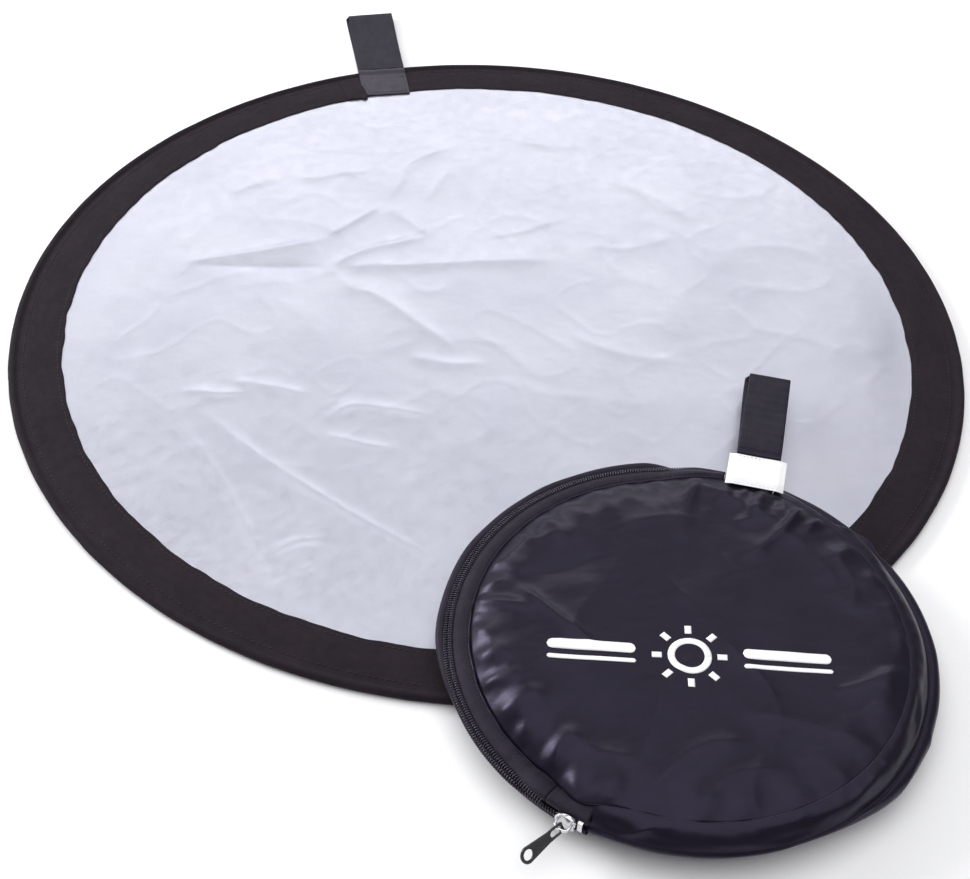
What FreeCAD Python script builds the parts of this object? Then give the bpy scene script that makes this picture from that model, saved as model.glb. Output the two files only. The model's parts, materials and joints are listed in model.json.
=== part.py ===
"""Collapsible reflector disc with its round zip case, as one parametric document.

Frame, in millimetres: the origin is the centre of the disc on the surface it lies on, +Z points up from
the silver face, +Y points to the disc's hanging loop. The disc folds about a line parallel to X.
The case lies on the -Y half of the disc. Its own centre is (case_x, case_y), and its zip is a circular arc
about that centre, from the carry loop round to the parked slider.
"""

import FreeCAD, Part
import os
import re

import Sketcher

DIMS = {
    # disc
    "disc_radius": 300.0,
    "rim_width": 32.5,
    "bead_width": 5.0,
    "bead_height": 5.0,
    "bead_chamfer": 1.0,
    "bead_ease": 0.2,
    "neck_width": 2.0,
    "rim_cloth": 0.6,
    "leaf_low": 1.4,
    "face_cloth": 0.5,
    "face_edge": 7.5,
    "hoop_middle": 297.0,
    "hoop_width": 3.4,
    "hoop_thickness": 0.9,
    "sleeve_wall": 0.3,
    "sleeve_sweep": 6.0,
    "sleeve_start": 74.0,
    "half_turn": 180.0,
    "thread_width": 0.6,
    "thread_height": 0.2,
    "seam_inner": 270.0,
    "seam_outer": 290.5,
    "patch_start": 86.6,
    "patch_sweep": 6.8,
    "patch_cloth": 0.5,
    "patch_lap": 1.0,
    "patch_ease": 0.3,
    "join_start": 93.6,
    "join_sweep": 3.0,
    "join_cloth": 0.4,
    # hanging loop of the disc
    "ribbon_width": 35.0,
    "ribbon_reach": 77.0,
    "ribbon_cloth": 0.7,
    "ribbon_depth": 4.6,
    "ribbon_hinge_x": 2.7,
    "ribbon_hinge_y": 304.7,
    "ribbon_hinge_z": 2.6,
    "ribbon_azimuth": 83.1,
    "ribbon_root": 0.5,
    # case
    "case_x": 21.0,
    "case_y": -286.0,
    "panel_radius": 111.5,
    "panel_cloth": 1.0,
    "back_low": 5.3,
    "back_radius": 115.0,
    "front_low": 28.0,
    "mouth_middle": 137.0,
    "mouth_half": 78.5,
    "mouth_offset": 22.0,
    "end_gap": 0.2,
    "gusset_start": 226.5,
    "gusset_sweep": 177.5,
    "piping": 1.5,
    "piping_drop": 0.1,
    "piping_proud": 0.3,
    "back_piping_proud": 0.0,
    "gusset_shoulder": 119.0,
    "gusset_upper_ridge": 123.5,
    "gusset_groove": 121.5,
    "gusset_lower_ridge": 126.5,
    "gusset_rise": 5.0,
    "gusset_drop": 4.0,
    "gusset_fall": 0.6,
    "gusset_foot": 1.0,
    "gusset_cloth": 1.3,
    # zip
    "zip_height": 17.0,
    "zip_radius": 123.5,
    "zip_gap": 0.8,
    "strand_width": 2.5,
    "strand_inner": 122.4,
    "strand_outer": 124.9,
    "tape_cloth": 0.6,
    "tape_upright": 3.3,
    "tape_edge": 0.1,
    "tape_turn": 0.3,
    "tape_foot": 1.4,
    "tape_open_end": 44.2,
    "tape_closed_end": 226.3,
    "strand_start": 57.9,
    "strand_sweep": 166.2,
    "open_stop_start": 56.6,
    "closed_stop_start": 224.3,
    "stop_sweep": 1.1,
    "stop_proud": 0.4,
    # slider, parked at the closed end
    "slider_azimuth": 221.5,
    "slider_length": 11.0,
    "slider_half_width": 4.8,
    "slider_plate": 1.2,
    "plate_inner_low": 120.7,
    "plate_outer_low": 125.3,
    "lip_width": 0.8,
    "lip_inner_high": 122.8,
    "lip_outer_low": 124.2,
    "weld": 0.1,
    "post_half": 0.45,
    "post_length": 2.8,
    "bridge_half": 0.6,
    "bridge_reach": 5.3,
    "bridge_bar": 1.2,
    "bridge_length": 8.6,
    # pull tab
    "pull_pivot": 129.0,
    "pull_azimuth": 207.0,
    "pull_roll": -35.0,
    "pull_thickness": 1.0,
    "pull_root": 0.7,
    "pull_root_half": 2.6,
    "pull_taper_start": 9.0,
    "pull_eye_at": 22.0,
    "pull_eye_outer": 4.3,
    "pull_ease": 0.3,
    "pull_eye_radius": 2.7,
    "pull_slot_end": 7.5,
    "pull_slot_half": 1.6,
    # carry loop of the case
    "label_x": 92.8,
    "label_y": -201.8,
    "carry_azimuth": 60.5,
    "carry_pitch": 12.0,
    "foot_low": 29.4,
    "foot_thickness": 1.8,
    "foot_back": 1.6,
    "foot_front": 21.0,
    "bar_length": 2.0,
    "bar_margin": 2.0,
    "bar_end": 0.5,
    "bar_sunk": 0.1,
    "bar_height": 0.4,
    "label_length": 20.0,
    "label_width": 31.0,
    "label_cloth": 0.4,
    "label_out": 8.2,
    "carry_pivot": 25.0,
    "carry_width": 25.0,
    "carry_reach": 86.0,
    "carry_depth": 7.2,
    "carry_cloth": 1.4,
    "carry_root": 0.6,
}

UP = FreeCAD.Vector(0, 0, 1)
# An outline's corners start on a ring of this radius about this point, before the constraints move them.
ROUGH_RADIUS = 40.0
ROUGH_CENTRE = FreeCAD.Vector(100, 60, 0)
# How far a cutting block reaches past what it cuts, in millimetres.
PAST = "1"
DOC = FreeCAD.newDocument("reflector")


def make_sheet():
    """The driving dimensions, one alias to a row."""
    sheet = DOC.addObject("Spreadsheet::Sheet", "Dims")
    for row, (alias, number) in enumerate(DIMS.items(), start=1):
        sheet.set(f"A{row}", alias)
        sheet.set(f"B{row}", str(number))
        sheet.setAlias(f"B{row}", alias)
    DOC.recompute()


def cell(formula):
    """The formula with each sheet alias in it written as a reference to its cell."""

    def with_sheet(word):
        return "Dims." + word.group() if word.group() in DIMS else word.group()

    return re.sub(r"[a-z]\w+", with_sheet, formula)


def bind(thing, sizes):
    """Set each property of the object from a formula on the sheet."""
    for name, formula in sizes.items():
        thing.setExpression(name, cell(formula))
    return thing


def place(thing, at=("0", "0", "0"), yaw="0"):
    """Put the object at a point, turned about the vertical axis."""
    thing.Placement = FreeCAD.Placement(FreeCAD.Vector(), FreeCAD.Rotation(UP, 1))
    names = ("Placement.Base.x", "Placement.Base.y", "Placement.Base.z", "Placement.Rotation.Angle")
    return bind(thing, dict(zip(names, (*at, yaw))))


def label(thing, name):
    """Name a finished sub-part and list it for export."""
    thing.Label = name
    PARTS.append(thing)
    return thing


def plane(body, role):
    """One of the body's own origin planes."""
    return next(feature for feature in body.Origin.OriginFeatures if feature.Role == role)


def outline(sketch, corners):
    """A closed outline of straight lines, with each corner's two distances read from the sheet."""
    count = len(corners)
    first = sketch.GeometryCount
    arm = FreeCAD.Vector(ROUGH_RADIUS, 0, 0)
    start = [ROUGH_CENTRE + FreeCAD.Rotation(UP, 360.0 * i / count).multVec(arm) for i in range(count)]
    for i in range(count):
        sketch.addGeometry(Part.LineSegment(start[i], start[(i + 1) % count]))
    for i in range(count):
        sketch.addConstraint(Sketcher.Constraint("Coincident", first + i, 2, first + (i + 1) % count, 1))
    for i, (across, up) in enumerate(corners):
        for kind, formula, value in (("DistanceX", across, start[i].x), ("DistanceY", up, start[i].y)):
            number = sketch.addConstraint(Sketcher.Constraint(kind, -1, 1, first + i, 1, value))
            sketch.setExpression(f"Constraints[{number}]", cell(formula))


def make_body(name, role, loops):
    """A body with one sketch on an origin plane."""
    body = DOC.addObject("PartDesign::Body", name)
    sketch = body.newObject("Sketcher::SketchObject", name + "_sketch")
    sketch.AttachmentSupport = (plane(body, role), [""])
    sketch.MapMode = "FlatFace"
    for corners in loops:
        outline(sketch, corners)
    return body, sketch


def turned(name, loops, start, sweep, at=("0", "0", "0")):
    """A closed (radius, height) section turned about the vertical axis, sweep degrees on from azimuth start."""
    body, sketch = make_body(name, "XZ_Plane", loops)
    turn = body.newObject("PartDesign::Revolution", name + "_turn")
    turn.Profile = sketch
    turn.ReferenceAxis = (sketch, ["V_Axis"])
    bind(turn, {"Angle": sweep})
    return label(place(body, at, start), name)


def padded(name, loops, thickness):
    """A flat outline in the XY plane, thickened evenly about that plane."""
    body, sketch = make_body(name, "XY_Plane", loops)
    pad = body.newObject("PartDesign::Pad", name + "_pad")
    pad.Profile = sketch
    pad.Midplane = True
    bind(pad, {"Length": thickness})
    return body


def box(name, low, size):
    """A box from its low corner, sizes from the sheet."""
    block = DOC.addObject("Part::Box", name)
    names = ("Placement.Base.x", "Placement.Base.y", "Placement.Base.z", "Length", "Width", "Height")
    return bind(block, dict(zip(names, (*low, *size))))


def cylinder(name, radius, height, base=("0", "0", "0")):
    """An upright cylinder, sizes from the sheet."""
    rod = DOC.addObject("Part::Cylinder", name)
    names = ("Placement.Base.x", "Placement.Base.y", "Placement.Base.z", "Radius", "Height")
    return bind(rod, dict(zip(names, (*base, radius, height))))


def fuse(name, shapes):
    """One solid from several that overlap."""
    joined = DOC.addObject("Part::MultiFuse", name)
    joined.Shapes = shapes
    joined.Refine = True
    return joined


def combine(kind, name, base, tool):
    """Part::Cut or Part::Common of two shapes."""
    made = DOC.addObject(kind, name)
    made.Base = base
    made.Tool = tool
    return made


def rect(r_low, r_high, z_low, z_high):
    """The corners of an upright rectangle."""
    return [(r_low, z_low), (r_high, z_low), (r_high, z_high), (r_low, z_high)]


def make_disc():
    """The hoop, the two faces, the binding and its stitching, each as a front (-Y) and a rear (+Y) half."""
    mid = "bead_height / 2"
    rim_in = "disc_radius - rim_width"
    neck = "disc_radius - bead_width - neck_width"
    shoulder = "disc_radius - bead_width"
    corner = "disc_radius - bead_chamfer"
    top = f"{mid} + face_cloth"
    low = f"{mid} - face_cloth"
    binding = [
        (rim_in, f"{top} + rim_cloth"),
        (neck, f"{top} + rim_cloth"),
        (shoulder, "bead_height"),
        (corner, "bead_height"),
        ("disc_radius", "bead_height - bead_chamfer"),
        ("disc_radius", "bead_chamfer"),
        (corner, "0"),
        (shoulder, "0"),
        (neck, f"{low} - rim_cloth"),
        (rim_in, f"{low} - rim_cloth"),
        (rim_in, low),
        (neck, low),
        (f"{shoulder} + 2 * bead_ease", "rim_cloth"),
        (f"{corner} - bead_ease", "rim_cloth"),
        ("disc_radius - rim_cloth", "bead_chamfer + bead_ease"),
        ("disc_radius - rim_cloth", "bead_height - bead_chamfer - bead_ease"),
        (f"{corner} - bead_ease", "bead_height - rim_cloth"),
        (f"{shoulder} + 2 * bead_ease", "bead_height - rim_cloth"),
        (neck, top),
        (rim_in, top),
    ]
    hoop = rect(
        "hoop_middle - hoop_thickness / 2",
        "hoop_middle + hoop_thickness / 2",
        f"{mid} - hoop_width / 2",
        f"{mid} + hoop_width / 2",
    )
    face_out = "disc_radius - face_edge"
    thread_top = f"{top} + rim_cloth"
    thread_low = f"{low} - rim_cloth - thread_height"
    threads = [
        rect(seam, f"{seam} + thread_width", height, f"{height} + thread_height")
        for seam in ("seam_inner", "seam_outer")
        for height in (thread_top, thread_low)
    ]
    for half, start in (("rear", "0"), ("front", "half_turn")):
        turned(f"spring_hoop_{half}", [hoop], start, "half_turn")
        turned(f"silver_face_{half}", [rect("0", face_out, mid, top)], start, "half_turn")
        turned(f"back_face_{half}", [rect("0", face_out, low, mid)], start, "half_turn")
        turned(f"rim_binding_{half}", [binding], start, "half_turn")
        turned(f"rim_stitching_{half}", threads, start, "half_turn")

    wall = "sleeve_wall"
    sleeve = rect(
        f"hoop_middle - hoop_thickness / 2 - {wall}",
        f"hoop_middle + hoop_thickness / 2 + {wall}",
        f"{mid} - hoop_width / 2 - {wall} / 2",
        f"{mid} + hoop_width / 2 + {wall} / 2",
    )
    turned("hoop_splice_sleeve", [sleeve, hoop], "sleeve_start", "sleeve_sweep")

    on_leaf = f"{thread_top} + thread_height"
    patch = [
        (f"{rim_in} - patch_lap", on_leaf),
        (neck, on_leaf),
        (shoulder, "bead_height"),
        (corner, "bead_height"),
        (corner, "bead_height + patch_cloth"),
        (f"{shoulder} - patch_ease", "bead_height + patch_cloth"),
        (f"{neck} - patch_ease", f"{on_leaf} + patch_cloth"),
        (f"{rim_in} - patch_lap", f"{on_leaf} + patch_cloth"),
    ]
    turned("hanging_loop_patch", [patch], "patch_start", "patch_sweep")
    join = rect(rim_in, neck, on_leaf, f"{on_leaf} + join_cloth")
    turned("rim_binding_join", [join], "join_start", "join_sweep")


def strap_loop(name, width, reach, depth, cloth, root):
    """A flat strap folded back on itself: length along X from -root to reach, width along Y, depth along Z.

    It turns about Y through its own origin. Its closed end is round and its root is sewn shut.
    """
    side = f"{width} / 2"
    bend = f"{depth} / 2"
    straight = f"{reach} - {bend} + {root}"
    sewn = f"3 * {cloth}"
    lying = FreeCAD.Rotation(FreeCAD.Vector(1, 0, 0), -90)
    outer_box = box(name + "_outer", (f"-{root}", f"-{side}", f"-{bend}"), (straight, width, depth))
    outer_end = cylinder(name + "_bend", bend, width, (f"{reach} - {bend}", f"-{side}", "0"))
    inner_box = box(
        name + "_gap",
        (sewn, f"-{side}", f"{cloth} - {bend}"),
        (f"{reach} - {bend} - {sewn}", width, f"{depth} - 2 * {cloth}"),
    )
    inner_end = cylinder(name + "_turn", f"{bend} - {cloth}", width, (f"{reach} - {bend}", f"-{side}", "0"))
    for end in (outer_end, inner_end):
        end.Placement = FreeCAD.Placement(FreeCAD.Vector(), lying)
    outer = fuse(name + "_outside", [outer_box, outer_end])
    inner = fuse(name + "_inside", [inner_box, inner_end])
    return combine("Part::Cut", name, outer, inner)


def make_hanging_loop():
    """The ribbon that the disc hangs by, lying flat beyond the rim and leaning a little to one side."""
    sizes = ("ribbon_width", "ribbon_reach", "ribbon_depth", "ribbon_cloth", "ribbon_root")
    loop = strap_loop("hanging_loop", *sizes)
    hinge = ("ribbon_hinge_x", "ribbon_hinge_y", "ribbon_hinge_z")
    label(place(loop, hinge, "ribbon_azimuth"), "hanging_loop")


def make_case():
    """The fixed shell of the case and its mouth flap, which folds up along a chord between the zip's ends."""
    at = ("case_x", "case_y", "0")
    front_top = "front_low + panel_cloth"
    back_top = "back_low + panel_cloth"
    turned("case_back_panel", [rect("0", "back_radius", "back_low", back_top)], "0", "360", at)

    flap_start = "mouth_middle - mouth_half"
    flap_sweep = "2 * mouth_half"
    closed_start = "mouth_middle + mouth_half + end_gap"
    rest_sweep = "360 - 2 * mouth_half - 2 * end_gap"

    for name, inside in (("case_mouth_flap", True), ("case_front_panel", False)):
        sheet = cylinder(name + "_disc", "panel_radius", "panel_cloth", ("0", "0", "front_low"))
        low_x = "mouth_offset" if inside else f"-panel_radius - {PAST}"
        length = "panel_radius" if inside else f"panel_radius + {PAST} + mouth_offset"
        half = box(
            name + "_half",
            (low_x, f"-panel_radius - {PAST}", f"front_low - {PAST}"),
            (length, f"2 * panel_radius + 2 * {PAST}", f"panel_cloth + 2 * {PAST}"),
        )
        label(place(combine("Part::Common", name, sheet, half), at, "mouth_middle"), name)

    seam = "panel_radius + piping"
    piping = rect("panel_radius", seam, "front_low - piping_drop", f"{front_top} + piping_proud")
    turned("flap_piping", [piping], flap_start, flap_sweep, at)
    turned("front_piping", [piping], closed_start, rest_sweep, at)
    back_piping = rect("back_radius", "back_radius + piping", "back_low", f"{back_top} + back_piping_proud")
    turned("back_piping", [back_piping], "0", "360", at)

    gusset = [
        (seam, front_top),
        ("gusset_shoulder", f"{front_top} - gusset_fall"),
        ("gusset_upper_ridge", "zip_height + gusset_rise"),
        ("gusset_groove", "zip_height"),
        ("gusset_lower_ridge", "zip_height - gusset_drop"),
        ("back_radius + gusset_foot", f"{back_top} + gusset_fall"),
        ("back_radius - gusset_foot", back_top),
        ("gusset_lower_ridge - gusset_cloth", "zip_height - gusset_drop"),
        ("gusset_groove - gusset_cloth", "zip_height"),
        ("gusset_upper_ridge - gusset_cloth", "zip_height + gusset_rise"),
        ("gusset_shoulder - gusset_cloth / 2", f"{front_top} - gusset_fall - panel_cloth"),
        (seam, "front_low"),
    ]
    turned("case_gusset", [gusset], "gusset_start", "gusset_sweep", at)

    make_zip(at, flap_start, flap_sweep, closed_start)


def make_zip(at, flap_start, flap_sweep, closed_start):
    """The tapes, the two strands of the chain and the stops at its ends."""
    tape_in = "zip_radius - tape_cloth / 2"
    tape_out = "zip_radius + tape_cloth / 2"
    seam = "panel_radius + piping"
    edge = "(zip_gap + strand_width)"
    upper_foot = f"zip_height + {edge}"
    upper_bend = f"zip_height + {edge} + tape_upright"
    upper = [
        (tape_in, upper_foot),
        (tape_out, upper_foot),
        (tape_out, upper_bend),
        (seam, "front_low + tape_edge + tape_cloth"),
        (seam, "front_low + tape_edge"),
        (tape_in, f"{upper_bend} - tape_turn"),
    ]
    turned("zip_tape_upper", [upper], flap_start, flap_sweep, at)
    closed_sweep = "tape_closed_end - mouth_middle - mouth_half - end_gap"
    turned("zip_tape_end_closed", [upper], closed_start, closed_sweep, at)
    open_sweep = "mouth_middle - mouth_half - end_gap - tape_open_end"
    turned("zip_tape_end_open", [upper], "tape_open_end", open_sweep, at)

    back_top = "back_low + panel_cloth"
    lower_foot = f"zip_height - {edge}"
    lower_bend = f"zip_height - {edge} - tape_upright"
    lower = [
        (tape_in, lower_foot),
        (tape_out, lower_foot),
        (tape_out, lower_bend),
        ("back_radius", back_top),
        ("back_radius - tape_foot", back_top),
        (tape_in, f"{lower_bend} + tape_turn"),
    ]
    turned("zip_tape_lower", [lower], "tape_open_end", "tape_closed_end - tape_open_end", at)

    top_strand = rect("strand_inner", "strand_outer", "zip_height + zip_gap", upper_foot)
    low_strand = rect("strand_inner", "strand_outer", lower_foot, "zip_height - zip_gap")
    turned("zip_teeth_upper", [top_strand], flap_start, flap_sweep, at)
    turned("zip_teeth_lower", [low_strand], "strand_start", "strand_sweep", at)
    stop = rect("strand_inner - stop_proud", "strand_outer + stop_proud", lower_foot, upper_foot)
    turned("zip_stop_open_end", [stop], "open_stop_start", "stop_sweep", at)
    turned("zip_stop_closed_end", [stop], "closed_stop_start", "stop_sweep", at)


def make_slider():
    """Slider body, bridge and pull tab, parked at the closed end: X points out along the radius."""
    at = ("case_x", "case_y", "zip_height")
    half = "slider_half_width"
    long = "slider_length"

    def slab(name, low_r, high_r, low_z, size_z):
        return box(name, (low_r, f"-{long} / 2", low_z), (f"{high_r} - ({low_r})", long, size_z))

    pieces = []
    for side in ("inner", "outer"):
        face = f"plate_{side}_low"
        pieces.append(slab(f"slider_{side}_plate", face, f"{face} + slider_plate", f"-{half}", f"2 * {half}"))
    for side, low_z in (("top", f"{half} - lip_width"), ("low", f"-{half}")):
        inner_face = "plate_inner_low + slider_plate - weld"
        outer_face = "plate_outer_low + weld"
        pieces.append(slab(f"slider_inner_lip_{side}", inner_face, "lip_inner_high", low_z, "lip_width"))
        pieces.append(slab(f"slider_outer_lip_{side}", "lip_outer_low", outer_face, low_z, "lip_width"))
    post = box(
        "slider_post",
        ("plate_inner_low + weld", f"{long} / 2 - post_length", "-post_half"),
        ("plate_outer_low - plate_inner_low", "post_length", "2 * post_half"),
    )
    label(place(fuse("slider_body", [*pieces, post]), at, "slider_azimuth"), "slider_body")

    base = "plate_outer_low + slider_plate"
    arch = box(
        "bridge_block",
        (base, "-bridge_length / 2", "-bridge_half"),
        ("bridge_reach", "bridge_length", "2 * bridge_half"),
    )
    opening = "bridge_length - 2 * bridge_bar"
    window = box(
        "bridge_window",
        (f"{base} - {PAST}", "bridge_bar - bridge_length / 2", f"-bridge_half - {PAST}"),
        (f"bridge_reach + {PAST} - bridge_bar", opening, f"2 * bridge_half + 2 * {PAST}"),
    )
    label(place(combine("Part::Cut", "slider_bridge", arch, window), at, "slider_azimuth"), "slider_bridge")


def make_pull_tab():
    """The pull tab: length along X from its pivot, width along Y, thickness along Z before it is placed."""
    blade = padded(
        "pull_blade",
        [
            [
                ("-pull_root", "-pull_root_half"),
                ("pull_taper_start", "-pull_root_half"),
                ("pull_eye_at", "pull_ease - pull_eye_outer"),
                ("pull_eye_at", "pull_eye_outer - pull_ease"),
                ("pull_taper_start", "pull_root_half"),
                ("-pull_root", "pull_root_half"),
            ]
        ],
        "pull_thickness",
    )
    under = "-pull_thickness / 2"
    eye = cylinder("pull_eye", "pull_eye_outer", "pull_thickness", ("pull_eye_at", "0", under))
    through = f"pull_thickness + 2 * {PAST}"
    hole = cylinder("pull_hole", "pull_eye_radius", through, ("pull_eye_at", "0", f"{under} - {PAST}"))
    slot = box(
        "pull_slot",
        ("pull_root", "-pull_slot_half", f"{under} - {PAST}"),
        ("pull_slot_end - pull_root", "2 * pull_slot_half", through),
    )
    solid = fuse("pull_solid", [blade, eye])
    tab = combine("Part::Cut", "pull_tab", solid, fuse("pull_openings", [hole, slot]))
    yaw = FreeCAD.Rotation(UP, DIMS["pull_azimuth"])
    roll = FreeCAD.Rotation(FreeCAD.Vector(1, 0, 0), 90 - DIMS["pull_roll"])
    tab.Placement = FreeCAD.Placement(FreeCAD.Vector(), yaw.multiply(roll))
    across = {
        "Placement.Base.x": "case_x + pull_pivot * cos(slider_azimuth * 1deg)",
        "Placement.Base.y": "case_y + pull_pivot * sin(slider_azimuth * 1deg)",
        "Placement.Base.z": "zip_height",
    }
    label(bind(tab, across), "pull_tab")


def make_carry_loop():
    """The webbing loop of the case, its sewn foot and the blank label over the foot."""
    at = ("label_x", "label_y", "0")
    foot = box(
        "foot_block",
        ("-foot_back", "-carry_width / 2", "foot_low"),
        ("foot_back + foot_front", "carry_width", "foot_thickness"),
    )
    label(place(fuse("carry_loop_foot", [foot, foot_bar()]), at, "carry_azimuth"), "carry_loop_foot")
    patch = padded(
        "case_label",
        [
            [
                ("-label_length / 2", "-label_width / 2"),
                ("label_length / 2", "-label_width / 2"),
                ("label_length / 2", "label_width / 2"),
                ("-label_length / 2", "label_width / 2"),
            ]
        ],
        "label_cloth",
    )
    on_foot = "foot_low + foot_thickness + label_cloth / 2"
    centre = (
        "label_x + label_out * cos(carry_azimuth * 1deg)",
        "label_y + label_out * sin(carry_azimuth * 1deg)",
        on_foot,
    )
    label(place(patch, centre, "carry_azimuth"), "case_label")

    sizes = ("carry_width", "carry_reach", "carry_depth", "carry_cloth", "carry_root")
    loop = strap_loop("carry_loop", *sizes)
    yaw = FreeCAD.Rotation(UP, DIMS["carry_azimuth"])
    pitch = FreeCAD.Rotation(FreeCAD.Vector(0, 1, 0), DIMS["carry_pitch"])
    loop.Placement = FreeCAD.Placement(FreeCAD.Vector(), yaw.multiply(pitch))
    pivot = {
        "Placement.Base.x": "label_x + carry_pivot * cos(carry_azimuth * 1deg)",
        "Placement.Base.y": "label_y + carry_pivot * sin(carry_azimuth * 1deg)",
        "Placement.Base.z": "foot_low + foot_thickness / 2",
    }
    label(bind(loop, pivot), "carry_loop")


def foot_bar():
    """The raised bar of box stitching across the front of the foot."""
    low = "foot_low + foot_thickness - bar_sunk"
    return box(
        "foot_stitch_bar",
        ("foot_front - bar_end - bar_length", "bar_margin - carry_width / 2", low),
        ("bar_length", "carry_width - 2 * bar_margin", "bar_height"),
    )


def export():
    """Stop on any failed object, then write each sub-part to its own STEP file."""
    DOC.recompute()
    failed = [thing.Name for thing in DOC.Objects if {"Invalid", "Error"} & set(thing.State)]
    if failed:
        raise RuntimeError("failed objects: " + ", ".join(failed))
    os.makedirs("parts", exist_ok=True)
    for thing in PARTS:
        if thing.Shape.isNull() or not thing.Shape.isValid() or not thing.Shape.Solids:
            raise RuntimeError(thing.Label + " has no valid solid")
    for thing in PARTS:
        thing.Shape.exportStep(os.path.join("parts", thing.Label + ".step"))


PARTS = []
make_sheet()
make_disc()
make_hanging_loop()
make_case()
make_slider()
make_pull_tab()
make_carry_loop()
export()
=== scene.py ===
"""Looks of the collapsible reflector disc and its zip case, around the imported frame. Metres, row frame, +Z up.

The disc lies flat with its silver face up, and the case lies on its near half. Every cloth is a mesh made in
code: its creases, gathers and folds are height functions of a few named points. Materials are procedural, and
read a UV map in metres, so the weave keeps its scale and follows the cloth when it moves.
"""

import json
from math import cos, pi, radians, sin

import bpy
import numpy as np
from mathutils import Matrix, Vector


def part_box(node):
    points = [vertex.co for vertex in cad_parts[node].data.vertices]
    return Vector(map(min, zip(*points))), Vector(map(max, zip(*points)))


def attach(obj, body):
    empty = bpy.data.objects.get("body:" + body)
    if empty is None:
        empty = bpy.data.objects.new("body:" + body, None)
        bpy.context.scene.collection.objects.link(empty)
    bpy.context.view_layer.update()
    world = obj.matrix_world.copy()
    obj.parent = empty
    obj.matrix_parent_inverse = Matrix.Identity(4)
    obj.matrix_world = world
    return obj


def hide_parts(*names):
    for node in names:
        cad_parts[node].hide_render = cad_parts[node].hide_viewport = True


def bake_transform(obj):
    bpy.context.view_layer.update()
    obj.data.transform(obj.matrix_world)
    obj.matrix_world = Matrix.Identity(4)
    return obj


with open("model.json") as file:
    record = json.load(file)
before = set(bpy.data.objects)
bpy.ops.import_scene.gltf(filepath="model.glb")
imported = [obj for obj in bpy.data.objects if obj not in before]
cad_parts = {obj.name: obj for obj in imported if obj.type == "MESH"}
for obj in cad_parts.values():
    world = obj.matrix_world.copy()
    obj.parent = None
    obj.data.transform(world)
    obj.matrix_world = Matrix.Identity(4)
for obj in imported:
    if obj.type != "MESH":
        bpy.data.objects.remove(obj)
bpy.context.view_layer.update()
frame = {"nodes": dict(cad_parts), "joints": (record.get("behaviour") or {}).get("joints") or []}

MM = 0.001

# ---------------- places and sizes, from the frame
DISC_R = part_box("rim_binding_rear")[1].x / MM
DISC_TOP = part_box("silver_face_rear")[1].z / MM
DISC_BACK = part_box("back_face_rear")[0].z / MM
BEAD_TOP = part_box("rim_binding_rear")[1].z / MM
FACE_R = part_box("silver_face_rear")[1].x / MM
HOOP_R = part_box("spring_hoop_rear")[1].x / MM
case_low, case_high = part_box("case_back_panel")
CASE_AT = CASE_X, CASE_Y = (case_low.x + case_high.x) / 2 / MM, (case_low.y + case_high.y) / 2 / MM
BACK_R = (case_high.x - case_low.x) / 2 / MM
BACK_Z = case_low.z / MM
FRONT_Z, ZIP_Z = (sum(end.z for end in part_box(name)) / 2 / MM for name in ("case_front_panel", "slider_body"))
LABEL_AT = (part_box("case_label")[0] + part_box("case_label")[1]) / 2 / MM
FOOT_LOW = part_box("carry_loop_foot")[0].z / MM
JOINTS = {joint["name"]: joint for joint in frame["joints"]}

# Sizes that a box can't give, in millimetres and degrees.
RIM_WIDTH = 32.5
SEAM_R = 112.2
ZIP_R = 123.5
MOUTH_AZ = 137.0
FLAP_START, FLAP_END = 58.5, 215.5
TAPE_START, TAPE_END = 44.2, 226.3
GUSSET_START, GUSSET_END = 222.0, 404.0
SLIDER_AZ = 221.5
PULL_AZ = 207.0
PULL_ROLL = -35.0
CARRY_AZ = 60.5
CARRY_PITCH = -12.0
CARRY_FROM_FOOT = 25.0
RIBBON_AZ = 83.1
RIBBON_REACH = 77.0

UP = (0.0, 0.0, 1.0)
LATTICE = 64  # random values along each side of the noise's table


# ---------------- numbers
def smooth(value, low, high):
    """0 below low, 1 above high, and a smooth step between them."""
    share = np.clip((value - low) / (high - low), 0.0, 1.0)
    return share * share * (3.0 - 2.0 * share)


def hump(value, middle, width):
    """A bell of the value: 1 at the middle, and next to nothing two widths away."""
    return np.exp(-(((value - middle) / width) ** 2))


def window(value, rise, fall):
    """0, then 1, then 0 again: a smooth step up over the rise and down over the fall, each (low, high)."""
    return smooth(value, *rise) * (1.0 - smooth(value, *fall))


def unit(vectors):
    """The rows of an array of vectors, each made 1 long."""
    return vectors / np.linalg.norm(vectors, axis=1)[:, None]


def heading(azimuth):
    """The level unit vector at an azimuth in degrees."""
    return Vector((cos(radians(azimuth)), sin(radians(azimuth)), 0.0))


def polar(radius, azimuth, height, centre=(0.0, 0.0)):
    """Points at radii, azimuths in radians and heights; their coordinates are the last axis."""
    dx, dy = radius * np.cos(azimuth), radius * np.sin(azimuth)
    return np.stack([centre[0] + dx, centre[1] + dy, height], -1)


def lattice_noise(x, y, size, seed):
    """Smooth noise from -1 to 1 with features about size across, from a seeded lattice of random values."""
    table = np.random.default_rng(seed).uniform(-1.0, 1.0, (LATTICE, LATTICE))
    turn = radians(31.0 + 17.0 * seed)
    u = (x * cos(turn) - y * sin(turn)) / size
    v = (x * sin(turn) + y * cos(turn)) / size
    i, j = np.floor(u).astype(int), np.floor(v).astype(int)
    fu, fv = smooth(u - i, 0.0, 1.0), smooth(v - j, 0.0, 1.0)
    i, j, next_i, next_j = i % LATTICE, j % LATTICE, (i + 1) % LATTICE, (j + 1) % LATTICE
    low = table[i, j] * (1 - fu) + table[next_i, j] * fu
    high = table[i, next_j] * (1 - fu) + table[next_i, next_j] * fu
    return low * (1 - fv) + high * fv


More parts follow.
